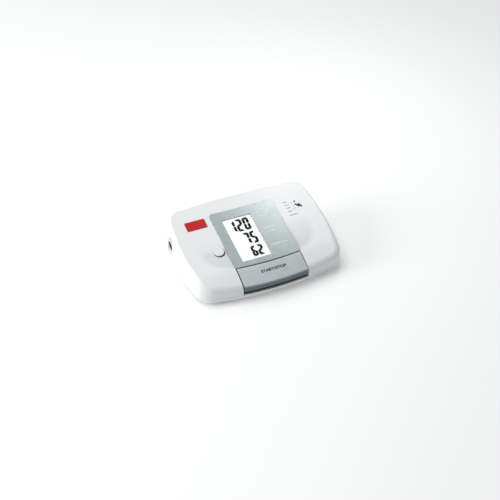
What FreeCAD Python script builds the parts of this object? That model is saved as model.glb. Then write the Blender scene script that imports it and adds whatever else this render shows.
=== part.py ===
import FreeCAD, Part
import math
import os

# Desktop upper-arm blood pressure monitor with a START/STOP bar across its front.
# Millimetres. Origin under the centre of the case, on the resting surface.
# +X is to the user's right, +Y away from the user, +Z up.

V = FreeCAD.Vector
X = V(1, 0, 0)
Y = V(0, 1, 0)
Z = V(0, 0, 1)

# ---- driving dimensions: case -----------------------------------------------------------
half_width = 79.0            # widest half of the case, a little above the table
front_reach = 53.3           # from the origin to the front face
back_reach = 54.0            # from the origin to the back face at the top
foot_height = 1.8            # the case floats this far above the table
wall = 2.2                   # case wall
floor_wall = 2.0             # case floor
part_line = 7.6              # height of the joint between the two covers
seam = 0.25                  # gap between the covers outside
top_at_origin = 31.58        # height of the top plane over the origin
top_slope = 12.0             # slope of the top plane, degrees, high at the back
key_slope = 22.3             # slope of the START/STOP bar, degrees
bar_depth = 20.15            # from the front face back to where the bar's slope starts
knee_round = 60.0            # radius between the two slopes
side_mid = 8.0               # where along Y the case is widest
front_bulge = 310.0          # plan radius of the front
back_bulge = 830.0           # plan radius of the back
front_corner = 17.0          # plan corner radius, front
back_corner = 11.0           # plan corner radius, back
edge_back = 1.4              # top edge radius at the back
edge_front = 7.4             # top edge radius at the front

# Plan sections of the case: height, and how far inside the widest outline the
# side, the front and the back lie there, with the side's plan radius.
case_sections = (
    (0.0, 4.0, 4.1, 21.4, 230.0),
    (1.2, 1.4, 1.6, 17.9, 230.0),
    (4.0, 0.2, 0.4, 13.4, 240.0),
    (8.2, 0.0, 0.1, 9.4, 250.0),
    (16.2, 0.8, 0.0, 4.8, 290.0),
    (28.2, 3.1, -0.2, 1.6, 350.0),
)
crest_section = (8.0, -0.4, -2.0, 380.0)     # the same, a little above the highest edge
crest_over = 4.95                            # that far above it

# ---- driving dimensions: feet and case screws -------------------------------------------
foot_r = 4.5
foot_let_in = 0.8
front_foot_in = 27.0         # feet and screws, from the widest side inwards
back_foot_in = 11.0
front_foot_back = 13.3       # front feet and screws, from the front face backwards
back_foot_y = 26.0
front_screw_in = 15.0
back_screw_in = 8.0
front_screw_back = 20.3
back_screw_y = 12.0
label_width = 53.0           # shallow field for the rating plate, under the case
label_length = 46.0
screw_r = 1.25               # case screws
screw_head_r = 2.6
screw_seat = 2.6             # depth of the screw's counterbore
screw_length = 11.0
case_boss_r = 3.0

# ---- driving dimensions: panel, window, keys --------------------------------------------
panel_half = 33.85           # half width of the grey panel
panel_back = 37.1            # back edge of the panel, along the slope
panel_front_sag = 1.6        # how far the panel's front edge bulges
panel_back_sag = 0.8         # the same at its back edge
panel_corner = 4.5           # back corner radius of the panel
panel_thick = 1.1
panel_proud = 0.25           # the panel stands this far above the cover
window_left = -24.0          # LCD window on the slope
window_width = 30.1
window_front = -27.3
window_length = 54.1
window_round = 1.2
window_thick = 0.7
window_sunk = 0.05           # the window lies this far under the panel's face
fit_gap = 0.1                # clearance round a piece that is let in
key_gap = 0.95               # gap round the bar
key_bottom = 11.0            # lower edge of the bar's front face
key_wall = 2.0
key_lip = 1.6                # radius of the bar's front edge
key_skirt_in = 2.9           # the bar's skirt behind the slot, from the front face inwards
key_skirt_wall = 0.9
key_skirt_below = 1.3        # it reaches this far below the joint of the covers
key_travel = 1.0
key_switch_travel = 0.4      # of it, the part that moves the switch
key_post_in = 9.85           # guide posts of the bar, from its ends inwards
key_post_back = 11.3         # and from the front face backwards
key_post_r = 2.0
key_board_z = 8.0            # underside of the board below the bar
key_board_thick = 1.0
key_board_half = 15.0
switch_half = 3.0            # half width of both switches
switch_plunger_r = 1.7
switch_height = 4.3          # with its plunger
slide_fit = 0.08             # radial clearance of sliding posts and pins
memory_out = 7.25            # memory button, from the panel's side to its centre
memory_v = -9.05             # and along the slope
memory_r = 4.85
memory_gap = 0.65
memory_aside = 0.45          # its hole stands this far to the right of its centre
memory_keeper = 0.4          # its flange reaches this far beyond the hole
memory_proud = 1.3
memory_travel = 0.6
memory_switch_travel = 0.3
badge_out = 5.65             # badge plate, from the panel's side to its right edge
badge_width = 20.5
badge_front = 23.8
badge_length = 11.2
badge_thick = 0.9
badge_proud = 0.35
hollow_start = 4.0           # the side hollows sink from here to the front
hollow_depth = 1.4           # their depth at the panel's front edge
hollow_in = 19.5             # their outer limit, from the widest side inwards
hollow_steps = ((0.0, 0.45), (3.0, 1.0))     # edge of each step further in, share of the depth
hollow_curve = ((1.0, 0.0), (0.98, 0.29), (0.845, 0.607), (0.53, 0.818), (0.0, 0.937))

# ---- driving dimensions: connectors -----------------------------------------------------
socket_y = 29.8              # air socket on the left side
socket_z = 20.1
socket_bore_r = 4.4
socket_depth = 5.8           # free depth of the bore, down to the seal
socket_body_r = 5.6
socket_length = 12.4
socket_elbow = 9.2           # from the recess to the elbow
socket_bend = 3.6            # bend of its hose round the back corner
socket_recess_r = 8.7
socket_ring_thick = 0.9
socket_seal_r = 3.9          # pocket of the seal at the bottom of the bore
socket_seal_thick = 1.2
socket_air_r = 2.4           # air way behind the bore
socket_inset = 3.3           # bottom of its recess, inside the widest side
jack_y = -14.0               # mains adapter jack on the right side
jack_up = 8.2                # above the case floor
jack_bore_r = 2.75
jack_body_r = 3.6
jack_pin_r = 1.05
jack_pin_back = 1.0          # the pin ends this far inside the face
jack_depth = 9.0
jack_inset = 1.8             # its face, inside the widest side
jack_length = 13.0

# ---- driving dimensions: batteries ------------------------------------------------------
cell_r = 7.1                 # AA cell
cell_length = 50.5
cell_nub_r = 2.6
cell_nub = 1.3
cell_count = 4
cell_apart = 0.4             # between two cells
cell_gap = 0.3               # between the door and the cells
bay_spare = 3.5              # length beyond a cell, for springs and contacts
bay_wall = 1.4
bay_roof = 1.2               # wall over the cells
contact_thick = 0.4
tail_up = 1.0                # solder tails of the end contacts, above the cell axis
tail_thick = 0.5
door_thick = 1.6
door_hinge_r = 0.8           # rounded lower edge that the door turns on
door_gap = 0.3

# ---- driving dimensions: board and display ----------------------------------------------
board_top = -6.0             # board face under the top plane
board_thick = 1.2
board_in = 17.0              # left edge of the main board, from the widest side inwards
board_back = 33.0
board_inset = 4.0            # board screws, from the board's edges
header_height = 4.0
glass_side = 1.45            # the LCD glass reaches this far beyond its window
glass_end = 1.95
glass_top = -1.0
glass_thick = 2.7
frame_rim = 4.0              # LCD frame beyond the glass
board_screw_r = 0.9

# ---- driving dimensions: air system -----------------------------------------------------
pump_forward = 20.0          # pump axis, in front of the hoses along the back
pump_clear = 0.8             # between the pump head and the floor
motor_r = 12.0
motor_right = 15.0           # from the battery bay to the motor
motor_beside = 2.5           # from the main board's right edge to the motor
motor_length = 28.0
terminal_length = 4.0
head_length = 17.0
head_over = 1.0              # the pump head's half width beyond the motor's radius
chamber_r = 9.5              # bore of the pump head
cap_length = 6.0
shaft_r = 1.0
crank_offset = 1.5
sleeve_thick = 1.5
hose_r = 2.5
hose_bend = 7.0
nozzle_r = 1.25
nozzle_fit = 0.05            # radial, between a nozzle and its hose
nozzle_bore = 0.6
back_hose_clear = 0.95       # between the hoses along the back and the case wall
back_hose_z = 22.0
sensor_z = 25.2              # height of the pressure sensor's port
manifold_width = 19.0
manifold_low = 17.0
manifold_high = 27.5
valve_right = 27.0           # from the battery bay to the valve
valve_y = -14.0
valve_up = 7.7               # valve axis above the case floor
valve_half = 6.0
valve_length = 16.0
yoke_thick = 1.2
valve_hose_z = 19.6
plunger_r = 2.0
plunger_travel = 0.8
seat_depth = 2.2             # depth of the valve seat that the plunger closes
wire_r = 0.55

# ---- what follows from them -------------------------------------------------------------
slope = math.tan(math.radians(top_slope))
slope_cos = math.cos(math.radians(top_slope))
far = 200.0                  # beyond everything


def top_z(y):
    """Height of the top plane at y."""
    return top_at_origin + slope * y


def section_at(z):
    """How far inside the widest outline the side, the front and the back lie at height z."""
    for low, high in zip(case_sections, case_sections[1:]):
        if z - foot_height <= high[0]:
            break
    share = (z - foot_height - low[0]) / (high[0] - low[0])
    return [a + share * (b - a) for a, b in zip(low[1:4], high[1:4])]


def back_wall_y(x, z):
    return back_reach - section_at(z)[2] - x ** 2 / (2 * back_bulge)


case_sections += ((top_z(back_reach) - foot_height + crest_over,) + crest_section,)
key_line = bar_depth - front_reach
key_front_v = key_line / slope_cos
key_post_x = panel_half - key_post_in
key_post_y = key_post_back - front_reach
switch_top = key_board_z + key_board_thick + switch_height
inner_floor = foot_height + floor_wall
window = (window_left, window_left + window_width, window_front, window_front + window_length)
badge_right = -panel_half - badge_out
badge = (badge_right - badge_width, badge_right, badge_front, badge_front + badge_length)
memory_at = (-panel_half - memory_out, memory_v)
memory_flange_bottom = -wall - 0.8
memory_flange_r = memory_r + memory_gap + memory_aside + memory_keeper
glass = (window[0] - glass_side, window[1] + glass_side, window[2] - glass_end, window[3] + glass_end)
board = (board_in - half_width, glass[1] + frame_rim, glass[2] - 1.5, board_back)
board_posts = ((board[0] + board_inset, board[2] + board_inset),
               (board[0] + board_inset, board[3] - board_inset))
frame_screws = ((glass[1] + frame_rim / 2, glass[2] + 2.5), (glass[1] + frame_rim / 2, glass[3]))
case_screws = ((front_screw_in - half_width, front_screw_back - front_reach),
               (half_width - front_screw_in, front_screw_back - front_reach),
               (back_screw_in - half_width, back_screw_y), (half_width - back_screw_in, back_screw_y))
foot_places = ((front_foot_in - half_width, front_foot_back - front_reach),
               (half_width - front_foot_in, front_foot_back - front_reach),
               (back_foot_in - half_width, back_foot_y), (half_width - back_foot_in, back_foot_y))
cell_pitch = 2 * cell_r + cell_apart
cell_z = foot_height + door_thick + cell_gap + cell_r
motor_start = board[1] + motor_beside
bay_right = motor_start - motor_right
bay_left = bay_right - (cell_count - 1) * cell_pitch - 2 * cell_r - 1.0
bay_ceiling = cell_z + cell_r + 0.3
cell_places = [bay_left + 0.5 + cell_r + i * cell_pitch for i in range(cell_count)]
hose_bore = nozzle_r + nozzle_fit
head_start = motor_start + motor_length
cap_start = head_start + head_length
outlet_x = cap_start + cap_length / 2
socket_face = socket_inset - half_width
socket_elbow_x = socket_face + socket_elbow
hose_end_x = max(outlet_x, -socket_elbow_x)
back_hose_y = back_wall_y(hose_end_x, back_hose_z) - wall - back_hose_clear - hose_r
elbow_reach = back_hose_y - socket_bend - 0.15 - socket_y
bay_back = back_hose_y - hose_r - 4.5
bay_front = bay_back - cell_length - bay_spare
head_half = motor_r + head_over
pump_y = back_hose_y - pump_forward
pump_z = inner_floor + pump_clear + head_half
sleeve_places = (motor_start + 4.5, motor_start + motor_length - 5.0)
head_corners = [(pump_y + sy * (head_half - 3.0), pump_z + sz * (head_half - 3.0))
                for sy in (-1, 1) for sz in (-1, 1)]
valve_x = bay_right + valve_right
valve_z = inner_floor + valve_up
valve_hose_x = bay_right + bay_wall + 0.5 + hose_r
sensor_x = bay_right - 6.0
manifold = (bay_right - 9.0, bay_right - 9.0 + manifold_width, bay_back + 3.0,
            back_wall_y(manifold_width, manifold_low) - wall - 0.4, manifold_low, manifold_high)
jack_face = half_width - jack_inset
jack_z = inner_floor + jack_up


# ---- helpers ----------------------------------------------------------------------------
def box(x0, x1, y0, y1, z0, z1):
    return Part.makeBox(x1 - x0, y1 - y0, z1 - z0, V(x0, y0, z0))


def rod(start, axis, radius, length):
    return Part.makeCylinder(radius, length, start, axis)


def tube(start, axis, outer, inner, length):
    return rod(start, axis, outer, length).cut(rod(start, axis, inner, length))


def joined(shapes):
    first = shapes[0]
    return first.fuse(shapes[1:]).removeSplitter() if len(shapes) > 1 else first


def tilted(shape):
    """Turns panel coordinates into case coordinates: local Z = 0 is the top plane."""
    placement = FreeCAD.Placement(V(0, 0, top_at_origin), FreeCAD.Rotation(X, top_slope))
    return placed(shape.copy(), placement)


def placed(shape, placement):
    shape.Placement = placement.multiply(shape.Placement)
    return shape


def rounded_plate(x0, x1, y0, y1, z0, z1, radius):
    plate = box(x0, x1, y0, y1, z0, z1)
    upright = [e for e in plate.Edges if abs(e.tangentAt(e.FirstParameter).z) > 0.99]
    return plate.makeFillet(radius, upright)


def path(points, bend):
    """Straight runs joined by tangent arcs of one radius."""
    edges = []
    start = points[0]
    for before, corner, after in zip(points, points[1:], points[2:]):
        toward = (corner - before).normalize()
        away = (after - corner).normalize()
        half_turn = toward.getAngle(away) / 2
        back_off = bend * math.tan(half_turn)
        first = corner - toward * back_off
        last = corner + away * back_off
        inward = (away - toward).normalize()
        centre = corner + inward * (bend / math.cos(half_turn))
        middle = centre - inward * bend
        edges.append(Part.LineSegment(start, first).toShape())
        edges.append(Part.Arc(first, middle, last).toShape())
        start = last
    edges.append(Part.LineSegment(start, points[-1]).toShape())
    return Part.Wire(edges)


def swept(points, bend, radius):
    line = path(points, bend)
    circle = Part.Wire(Part.makeCircle(radius, points[0], points[1] - points[0]))
    return line.makePipeShell([circle], True, False)


def hose(points, bend=hose_bend):
    return swept(points, bend, hose_r).cut(swept(points, bend, hose_bore))


def coil(start, axis, radius, end_radius, pitch, turns, wire):
    """Coil spring from start along axis, with an even change of radius to its other end."""
    steps = round(12 * turns)
    points = []
    for i in range(steps + 1):
        share = i / steps
        here = radius + (end_radius - radius) * share
        angle = 2 * math.pi * turns * share
        points.append(V(here * math.cos(angle), here * math.sin(angle), pitch * turns * share))
    curve = Part.BSplineCurve()
    curve.interpolate(points)
    along = curve.tangent(curve.FirstParameter)[0]
    profile = Part.Wire(Part.makeCircle(wire, points[0], along))
    spring = Part.Wire(curve.toShape()).makePipeShell([profile], True, True)
    return placed(spring, FreeCAD.Placement(start, FreeCAD.Rotation(Z, axis)))


def save(name, *solids):
    shape = solids[0] if len(solids) == 1 else Part.makeCompound(list(solids))
    shape.exportStep("parts/%s.step" % name)
    print("%-24s %2d solids  %9.1f mm3" % (name, len(shape.Solids), shape.Volume))


# ---- case form --------------------------------------------------------------------------
def circles_meet(centre_a, radius_a, centre_b, radius_b, wanted):
    """The meeting point of two plan circles that lies nearest to wanted."""
    apart = centre_b - centre_a
    gap = apart.Length
    along = (radius_a ** 2 - radius_b ** 2 + gap ** 2) / (2 * gap)
    across = math.sqrt(radius_a ** 2 - along ** 2)
    unit = apart * (1 / gap)
    normal = V(-unit.y, unit.x, 0)
    choices = [centre_a + unit * along + normal * (across * s) for s in (-1, 1)]
    return min(choices, key=lambda p: (p - wanted).Length)


def corner_arc(centre_a, radius_a, centre_b, radius_b, radius, wanted):
    """Start, middle and end of the arc that rounds the corner of two plan circles."""
    centre = circles_meet(centre_a, radius_a - radius, centre_b, radius_b - radius, wanted)
    first = centre + (centre - centre_a).normalize() * radius
    last = centre + (centre - centre_b).normalize() * radius
    middle = centre + ((first + last) * 0.5 - centre).normalize() * radius
    return first, middle, last


def outline(section, inset):
    """Closed plan outline of the case at one section."""
    height, side_in, front_in, back_in, side_bulge = section
    half = half_width - side_in - inset
    front = -front_reach + front_in + inset
    back = back_reach - back_in - inset
    radii = (front_bulge - inset, side_bulge - inset, back_bulge - inset, side_bulge - inset)
    centres = (V(0, front + radii[0], 0), V(half - radii[1], side_mid, 0),
               V(0, back - radii[2], 0), V(radii[3] - half, side_mid, 0))
    rounds = (front_corner - inset, back_corner - inset, back_corner - inset, front_corner - inset)
    aims = (V(half, front, 0), V(half, back, 0), V(-half, back, 0), V(-half, front, 0))
    corners = []
    for i in range(4):
        j = (i + 1) % 4
        corners.append(corner_arc(centres[i], radii[i], centres[j], radii[j], rounds[i], aims[i]))
    up = V(0, 0, foot_height + height)
    edges = []
    for i in range(4):
        start, end = corners[i - 1][2], corners[i][0]
        middle = centres[i] + ((start + end) * 0.5 - centres[i]).normalize() * radii[i]
        edges.append(Part.Arc(start + up, middle + up, end + up).toShape())
        edges.append(Part.Arc(*[p + up for p in corners[i]]).toShape())
    return Part.Wire(edges)


def case_block(inset):
    return Part.makeLoft([outline(s, inset) for s in case_sections], True, False)


def under_top(drop, bottom):
    """Everything between a flat bottom and the top face lowered by drop."""
    lower = drop / slope_cos
    knee = V(-far, key_line, top_z(key_line) - lower)
    key_fall = math.tan(math.radians(key_slope))
    back = V(-far, far, top_z(far) - lower)
    points = [knee, back, V(-far, far, bottom), V(-far, key_line - (knee.z - bottom) / key_fall, bottom)]
    block = Part.Face(Part.makePolygon(points + points[:1])).extrude(V(2 * far, 0, 0))
    crease = [e for e in block.Edges if all(abs(v.Point.y - key_line) < 1e-6 for v in e.Vertexes)]
    return block.makeFillet(knee_round, crease)


def top_edge_radius(y, reduce):
    """The top edge is crisp at the back and soft at the front."""
    share = min(max((back_reach - 12.0 - y) / (front_reach + 22.0), 0.0), 1.0)
    return max(edge_back + share ** 2 * (edge_front - edge_back) - reduce, 0.5)


def is_top_edge(edge, solid):
    if isinstance(edge.Curve, Part.Line):
        return False
    middle = edge.valueAt((edge.FirstParameter + edge.LastParameter) / 2)
    if middle.z < part_line:
        return False
    tilt = []
    for face in solid.ancestorsOfType(edge, Part.Face):
        u0, u1, v0, v1 = face.ParameterRange
        tilt.append(face.normalAt((u0 + u1) / 2, (v0 + v1) / 2).z)
    return max(tilt) > 0.85


def soften_top(solid, reduce=0.0):
    """Rounds the top edge with a radius that grows from the back to the front."""
    radii = []
    for number, edge in enumerate(solid.Edges, 1):
        if is_top_edge(edge, solid):
            start = edge.valueAt(edge.FirstParameter)
            end = edge.valueAt(edge.LastParameter)
            radii.append((number, top_edge_radius(start.y, reduce), top_edge_radius(end.y, reduce)))
    document = FreeCAD.newDocument("edge")
    plain = document.addObject("Part::Feature", "plain")
    plain.Shape = solid
    rounded = document.addObject("Part::Fillet", "rounded")
    rounded.Base = plain
    rounded.Edges = radii
    document.recompute()
    shape = rounded.Shape.copy()
    FreeCAD.closeDocument(document.Name)
    return shape.Solids[0]


def case_outer():
    return soften_top(case_block(0.0).common(under_top(0.0, foot_height)).Solids[0])


def case_inner():
    plain = case_block(wall).common(under_top(wall, inner_floor)).Solids[0]
    return soften_top(plain, wall)


# ---- panel outlines ---------------------------------------------------------------------
def panel_prism(grow, low, high):
    """The grey panel's outline, grown by a clearance, in panel coordinates."""
    half = panel_half + grow
    front = key_front_v - grow
    back = panel_back + grow
    ends = front + panel_front_sag
    back_ends = back + panel_back_sag
    wire = Part.Wire([
        Part.Arc(V(-half, ends, low), V(0, front, low), V(half, ends, low)).toShape(),
        Part.LineSegment(V(half, ends, low), V(half, back_ends, low)).toShape(),
        Part.Arc(V(half, back_ends, low), V(0, back, low), V(-half, back_ends, low)).toShape(),
        Part.LineSegment(V(-half, back_ends, low), V(-half, ends, low)).toShape(),
    ])
    prism = Part.Face(wire).extrude(V(0, 0, high - low))
    rear = []
    for edge in prism.Edges:
        upright = abs(edge.tangentAt(edge.FirstParameter).z) > 0.99
        if upright and edge.Vertexes[0].Point.y > 0:
            rear.append(edge)
    return prism.makeFillet(panel_corner + grow, rear)


def bar_zone(shrink, low, high):
    """Plan zone of the START/STOP bar: everything in front of the panel's front edge."""
    half = panel_half - shrink
    middle = key_line - shrink
    ends = middle + panel_front_sag * slope_cos
    wire = Part.Wire([
        Part.Arc(V(-half, ends, low), V(0, middle, low), V(half, ends, low)).toShape(),
        Part.LineSegment(V(half, ends, low), V(half, -far, low)).toShape(),
        Part.LineSegment(V(half, -far, low), V(-half, -far, low)).toShape(),
        Part.LineSegment(V(-half, -far, low), V(-half, ends, low)).toShape(),
    ])
    return Part.Face(wire).extrude(V(0, 0, high - low))


def side_hollow(side, inset, share):
    """One step of the field beside the panel that sinks towards the front, in panel coordinates."""
    inner = panel_half
    curve = Part.BSplineCurve()
    wide = half_width - hollow_in - inner - inset
    deep = hollow_start - key_front_v - inset
    points = [V(side * (inner + wide * a), hollow_start - deep * b, 0) for a, b in hollow_curve]
    curve.interpolate(points)
    corner = V(side * inner, hollow_start, 0)
    wire = Part.Wire([
        curve.toShape(),
        Part.LineSegment(points[-1], corner).toShape(),
        Part.LineSegment(corner, points[0]).toShape(),
    ])
    prism = Part.Face(wire).extrude(V(0, 0, 10))
    prism.translate(V(0, 0, -5))
    dip = math.degrees(math.atan2(hollow_depth * share, hollow_start - key_front_v))
    above = box(-far, far, -far, 0, 0, 20)
    above.rotate(V(0, 0, 0), X, dip)
    above.translate(V(0, hollow_start, 0))
    return prism.common(above)


# ---- covers -----------------------------------------------------------------------------
def boss_columns(low, radius):
    return [rod(V(x, y, low), Z, radius, far) for x, y in case_screws]


def saddle(x, low, high, cut_radius):
    """Rib across the pump with a round seat for its rubber sleeve."""
    half = motor_r - 3.0
    rib = box(x - 1.0, x + 1.0, pump_y - half, pump_y + half, low, high)
    return rib.cut(rod(V(x - 2, pump_y, pump_z), X, cut_radius, 4))


def jack_pad(grow):
    """Thickened wall round the mains jack."""
    return rod(V(jack_face - 3.6 - 20 * grow, jack_y, jack_z), X, jack_body_r + 3.0 + grow, 30)


def top_cover(outer, inner):
    shell = outer.cut(inner)
    ledge = tilted(panel_prism(1.5, -3.2, -panel_thick + panel_proud))
    adds = [ledge]
    for column in boss_columns(part_line + 0.4, case_boss_r):
        adds.append(column)
    for x, v in board_posts:
        adds.append(tilted(rod(V(x, v, board_top), Z, 2.4, -board_top)))
    for x in sleeve_places:
        adds.append(saddle(x, pump_z + 1.0, far, motor_r + sleeve_thick + 0.05))
    for side in (-1, 1):
        cheek = side * (panel_half + wall / 2)
        adds.append(box(cheek - wall / 2, cheek + wall / 2, -far, key_line + 1.0, part_line, far))
    adds.append(rod(V(socket_face + wall + 0.2, socket_y, socket_z), -X, socket_recess_r + 1.5, 20))
    adds.append(jack_pad(0.0))
    inside = joined(adds).common(outer)
    cover = shell.fuse([inside])
    cuts = [box(-far, far, -far, far, -1, part_line + seam / 2)]
    cuts.append(bar_zone(0.0, 0.0, far))
    cuts.append(tilted(panel_prism(fit_gap, panel_proud - panel_thick, 20)))
    rim = frame_rim + 0.5
    cuts.append(tilted(box(glass[0] - rim, glass[1] + rim, glass[2] - 1.5, glass[3] + rim, -8, 8)))
    for side in (-1, 1):
        for inset, share in hollow_steps:
            cuts.append(tilted(side_hollow(side, inset, share)))
    hole = V(memory_at[0] + memory_aside, memory_at[1], -8)
    cuts.append(tilted(rod(hole, Z, memory_r + memory_gap, 16)))
    cuts.append(tilted(rod(V(memory_at[0], memory_at[1], -8), Z, memory_flange_r + 0.3, 8 - wall)))
    plate = (badge[0] - fit_gap, badge[1] + fit_gap, badge[2] - fit_gap, badge[3] + fit_gap)
    cuts.append(tilted(rounded_plate(*plate, badge_proud - badge_thick, 10, 0.8)))
    cuts.append(rod(V(socket_face, socket_y, socket_z), -X, socket_recess_r, 10))
    cuts.append(rod(V(0, socket_y, socket_z), -X, socket_body_r + fit_gap, far))
    cuts.append(rod(V(jack_face, jack_y, jack_z), X, jack_body_r + 2.0, 10))
    cuts.append(rod(V(0, jack_y, jack_z), X, jack_body_r + fit_gap, far))
    for x, y in case_screws:
        cuts.append(rod(V(x, y, 0), Z, screw_r + 0.03, foot_height + screw_seat + screw_length + 1.6))
    for x, v in board_posts:
        cuts.append(tilted(rod(V(x, v, board_top - 1), Z, board_screw_r + 0.03, 4.5)))
    return cover.cut(cuts)


def bottom_cover(outer, inner):
    shell = outer.cut(inner)
    bay = box(bay_left - bay_wall, bay_right + bay_wall, bay_front - bay_wall, bay_back + bay_wall,
              inner_floor - 0.5, bay_ceiling + bay_roof)
    adds = [bay]
    for x, y in case_screws:
        adds.append(rod(V(x, y, inner_floor - 0.5), Z, case_boss_r + 1.0, part_line - inner_floor + 0.9))
    for x in sleeve_places:
        adds.append(saddle(x, inner_floor - 0.5, pump_z - 1.0, motor_r + sleeve_thick + 0.05))
    for side in (-1, 1):
        adds.append(rod(V(side * key_post_x, key_post_y, inner_floor - 0.5), Z, key_post_r + 1.6, 8.7))
        x = side * (key_board_half - 3.0)
        adds.append(box(x - 1.5, x + 1.5, key_post_y - 4.0, key_post_y + 4.0, inner_floor - 0.5, key_board_z))
    for x in (valve_x + 2, valve_x + valve_length - 4):
        adds.append(box(x, x + 2, valve_y - 7.5, valve_y + 7.5, inner_floor - 0.5, valve_z - valve_half))
    upper = box(-far, far, -far, far, part_line - seam / 2, far)
    tongue = case_block(wall + 0.15).cut(case_block(wall + 1.3))
    tongue = tongue.common(box(-far, far, -far, far, inner_floor - 0.3, part_line + 1.6))
    keep_off = [bar_zone(-wall - 0.3, 0, far), jack_pad(0.3)]
    tongue = tongue.cut(keep_off + boss_columns(0, case_boss_r + 0.2))
    cover = shell.cut(upper).fuse([joined(adds).common(case_block(wall / 2))]).fuse(tongue)
    cuts = [box(bay_left, bay_right, bay_front, bay_back, inner_floor - 0.2, bay_ceiling)]
    for i in (0, -1):
        x = cell_places[i]
        cuts.append(box(x - 1.2, x + 1.2, bay_front - bay_wall - 1, bay_front + 1,
                        cell_z + tail_up - 0.1, cell_z + tail_up + tail_thick + 0.1))
    cuts.append(box(*door_opening(0.0), 0, inner_floor + 0.1))
    for x, y in case_screws:
        cuts.append(rod(V(x, y, 0), Z, screw_head_r + 0.2, foot_height + screw_seat))
        cuts.append(rod(V(x, y, 0), Z, screw_r + 0.1, 20))
    for side in (-1, 1):
        post = V(side * key_post_x, key_post_y, inner_floor + 0.2)
        cuts.append(rod(post, Z, key_post_r + slide_fit, 20))
    for x, y in foot_places:
        cuts.append(rod(V(x, y, 0), Z, foot_r + fit_gap, foot_height + foot_let_in))
    plate_left = bay_right + 9.0
    cuts.append(box(plate_left, plate_left + label_width, -22.0, label_length - 22.0, 0, foot_height + 0.3))
    return cover.cut(cuts)


def rubber_feet():
    feet = []
    for x, y in foot_places:
        foot = rod(V(x, y, 0), Z, foot_r, foot_height + foot_let_in)
        low = [e for e in foot.Edges if abs(e.BoundBox.ZMax) < 1e-6]
        feet.append(foot.makeFillet(0.5, low))
    return feet


def screw(start, axis, shaft_r, length, head_r, head_height):
    """Pan-head screw: start is the seat of the head, axis points along the shaft."""
    head = rod(start - axis * head_height, axis, head_r, head_height)
    shaft = rod(start, axis, shaft_r, length)
    cross = []
    for turn in (0, 90):
        slot = box(-0.3, 0.3, -head_r * 0.6, head_r * 0.6, -0.01, 0.7)
        slot.rotate(V(0, 0, 0), Z, turn)
        cross.append(placed(slot, FreeCAD.Placement(start - axis * head_height,
                                                    FreeCAD.Rotation(Z, axis))))
    return head.fuse([shaft]).removeSplitter().cut(cross)


def housing_screws():
    seat = foot_height + screw_seat
    return [screw(V(x, y, seat), Z, screw_r, screw_length, screw_head_r, 1.6) for x, y in case_screws]


# ---- battery bay ------------------------------------------------------------------------
def door_opening(shrink):
    return (bay_left + 0.5 + shrink, bay_right - 0.5 - shrink,
            bay_front + 2.0 + shrink, bay_back - 2.0 - shrink)


def battery_door():
    x0, x1, y0, y1 = door_opening(door_gap)
    plate = box(x0, x1, y0, y1, foot_height, foot_height + door_thick)
    hinge_edge = []
    for edge in plate.Edges:
        if edge.BoundBox.YMax < y0 + 1e-6 and edge.BoundBox.ZMax < foot_height + 1e-6:
            hinge_edge.append(edge)
    plate = plate.makeFillet(door_hinge_r, hinge_edge)
    cells = cell_places
    adds = []
    for left, right in ((cells[0], cells[1]), (cells[2], cells[3])):
        x = (left + right) / 2
        adds.append(box(x - 2, x + 2, y0 - 1.5, y0 + 1.5, inner_floor + 0.1, inner_floor + 0.9))
        adds.append(box(x - 2, x + 2, y0, y0 + 1.5, foot_height + 1, inner_floor + 0.9))
    door = joined([plate] + adds)
    cuts = []
    middle = (x0 + x1) / 2
    for i in range(4):
        y = y1 - 5.0 - 2.2 * i
        cuts.append(box(middle - 9, middle + 9, y, y + 1.0, 0, foot_height + 0.6))
    return door.cut(cuts)


def battery_cells():
    cells = []
    for i, x in enumerate(cell_places):
        tip = bay_back - 0.6 if i % 2 == 0 else bay_front + 0.6
        toward = -Y if i % 2 == 0 else Y
        nub = rod(V(x, tip, cell_z), toward, cell_nub_r, cell_nub)
        can = rod(V(x, tip, cell_z) + toward * cell_nub, toward, cell_r, cell_length - cell_nub)
        rims = [e for e in can.Edges if isinstance(e.Curve, Part.Circle)]
        cells.append(joined([can.makeFillet(0.6, rims), nub]))
    return cells


def battery_springs():
    springs = []
    for i, x in enumerate(cell_places):
        away = Y if i % 2 == 0 else -Y
        seat = bay_front + contact_thick if i % 2 == 0 else bay_back - contact_thick
        length = bay_spare - contact_thick - 0.6
        start = V(x, seat, cell_z) + away * 0.35
        springs.append(coil(start, away, 4.6, 2.6, (length - 0.7) / 3, 3, 0.3))
    return springs


def battery_contacts():
    """Plates that join the cells in series, and two end plates with solder tails."""
    low, high = cell_z - 5.0, cell_z + 5.0
    cells = cell_places
    plates = []
    back = bay_back - contact_thick
    for left, right, y in ((0, 1, back), (1, 2, bay_front), (2, 3, back)):
        plates.append(box(cells[left] - 5, cells[right] + 5, y, y + contact_thick, low, high))
    for i in (0, 3):
        plate = box(cells[i] - 5, cells[i] + 5, bay_front, bay_front + contact_thick, low, high)
        tail = box(cells[i] - 1, cells[i] + 1, bay_front - bay_wall - 1.2, bay_front + 0.2,
                   cell_z + tail_up, cell_z + tail_up + tail_thick)
        plates.append(joined([plate, tail]))
    return plates


# ---- display and panel ------------------------------------------------------------------
def panel_bezel():
    plate = panel_prism(0.0, panel_proud - panel_thick, panel_proud)
    rim = [e for e in plate.Edges if e.BoundBox.ZMin > panel_proud - 1e-6]
    x0, x1, y0, y1 = window
    hole = rounded_plate(x0, x1, y0, y1, -5, 5, window_round)
    return tilted(plate.makeFillet(0.2, rim).cut(hole))


def lcd_window():
    x0, x1, y0, y1 = window
    high = panel_proud - window_sunk
    c = fit_gap / 2
    return tilted(rounded_plate(x0 + c, x1 - c, y0 + c, y1 - c, high - window_thick, high, window_round))


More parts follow.
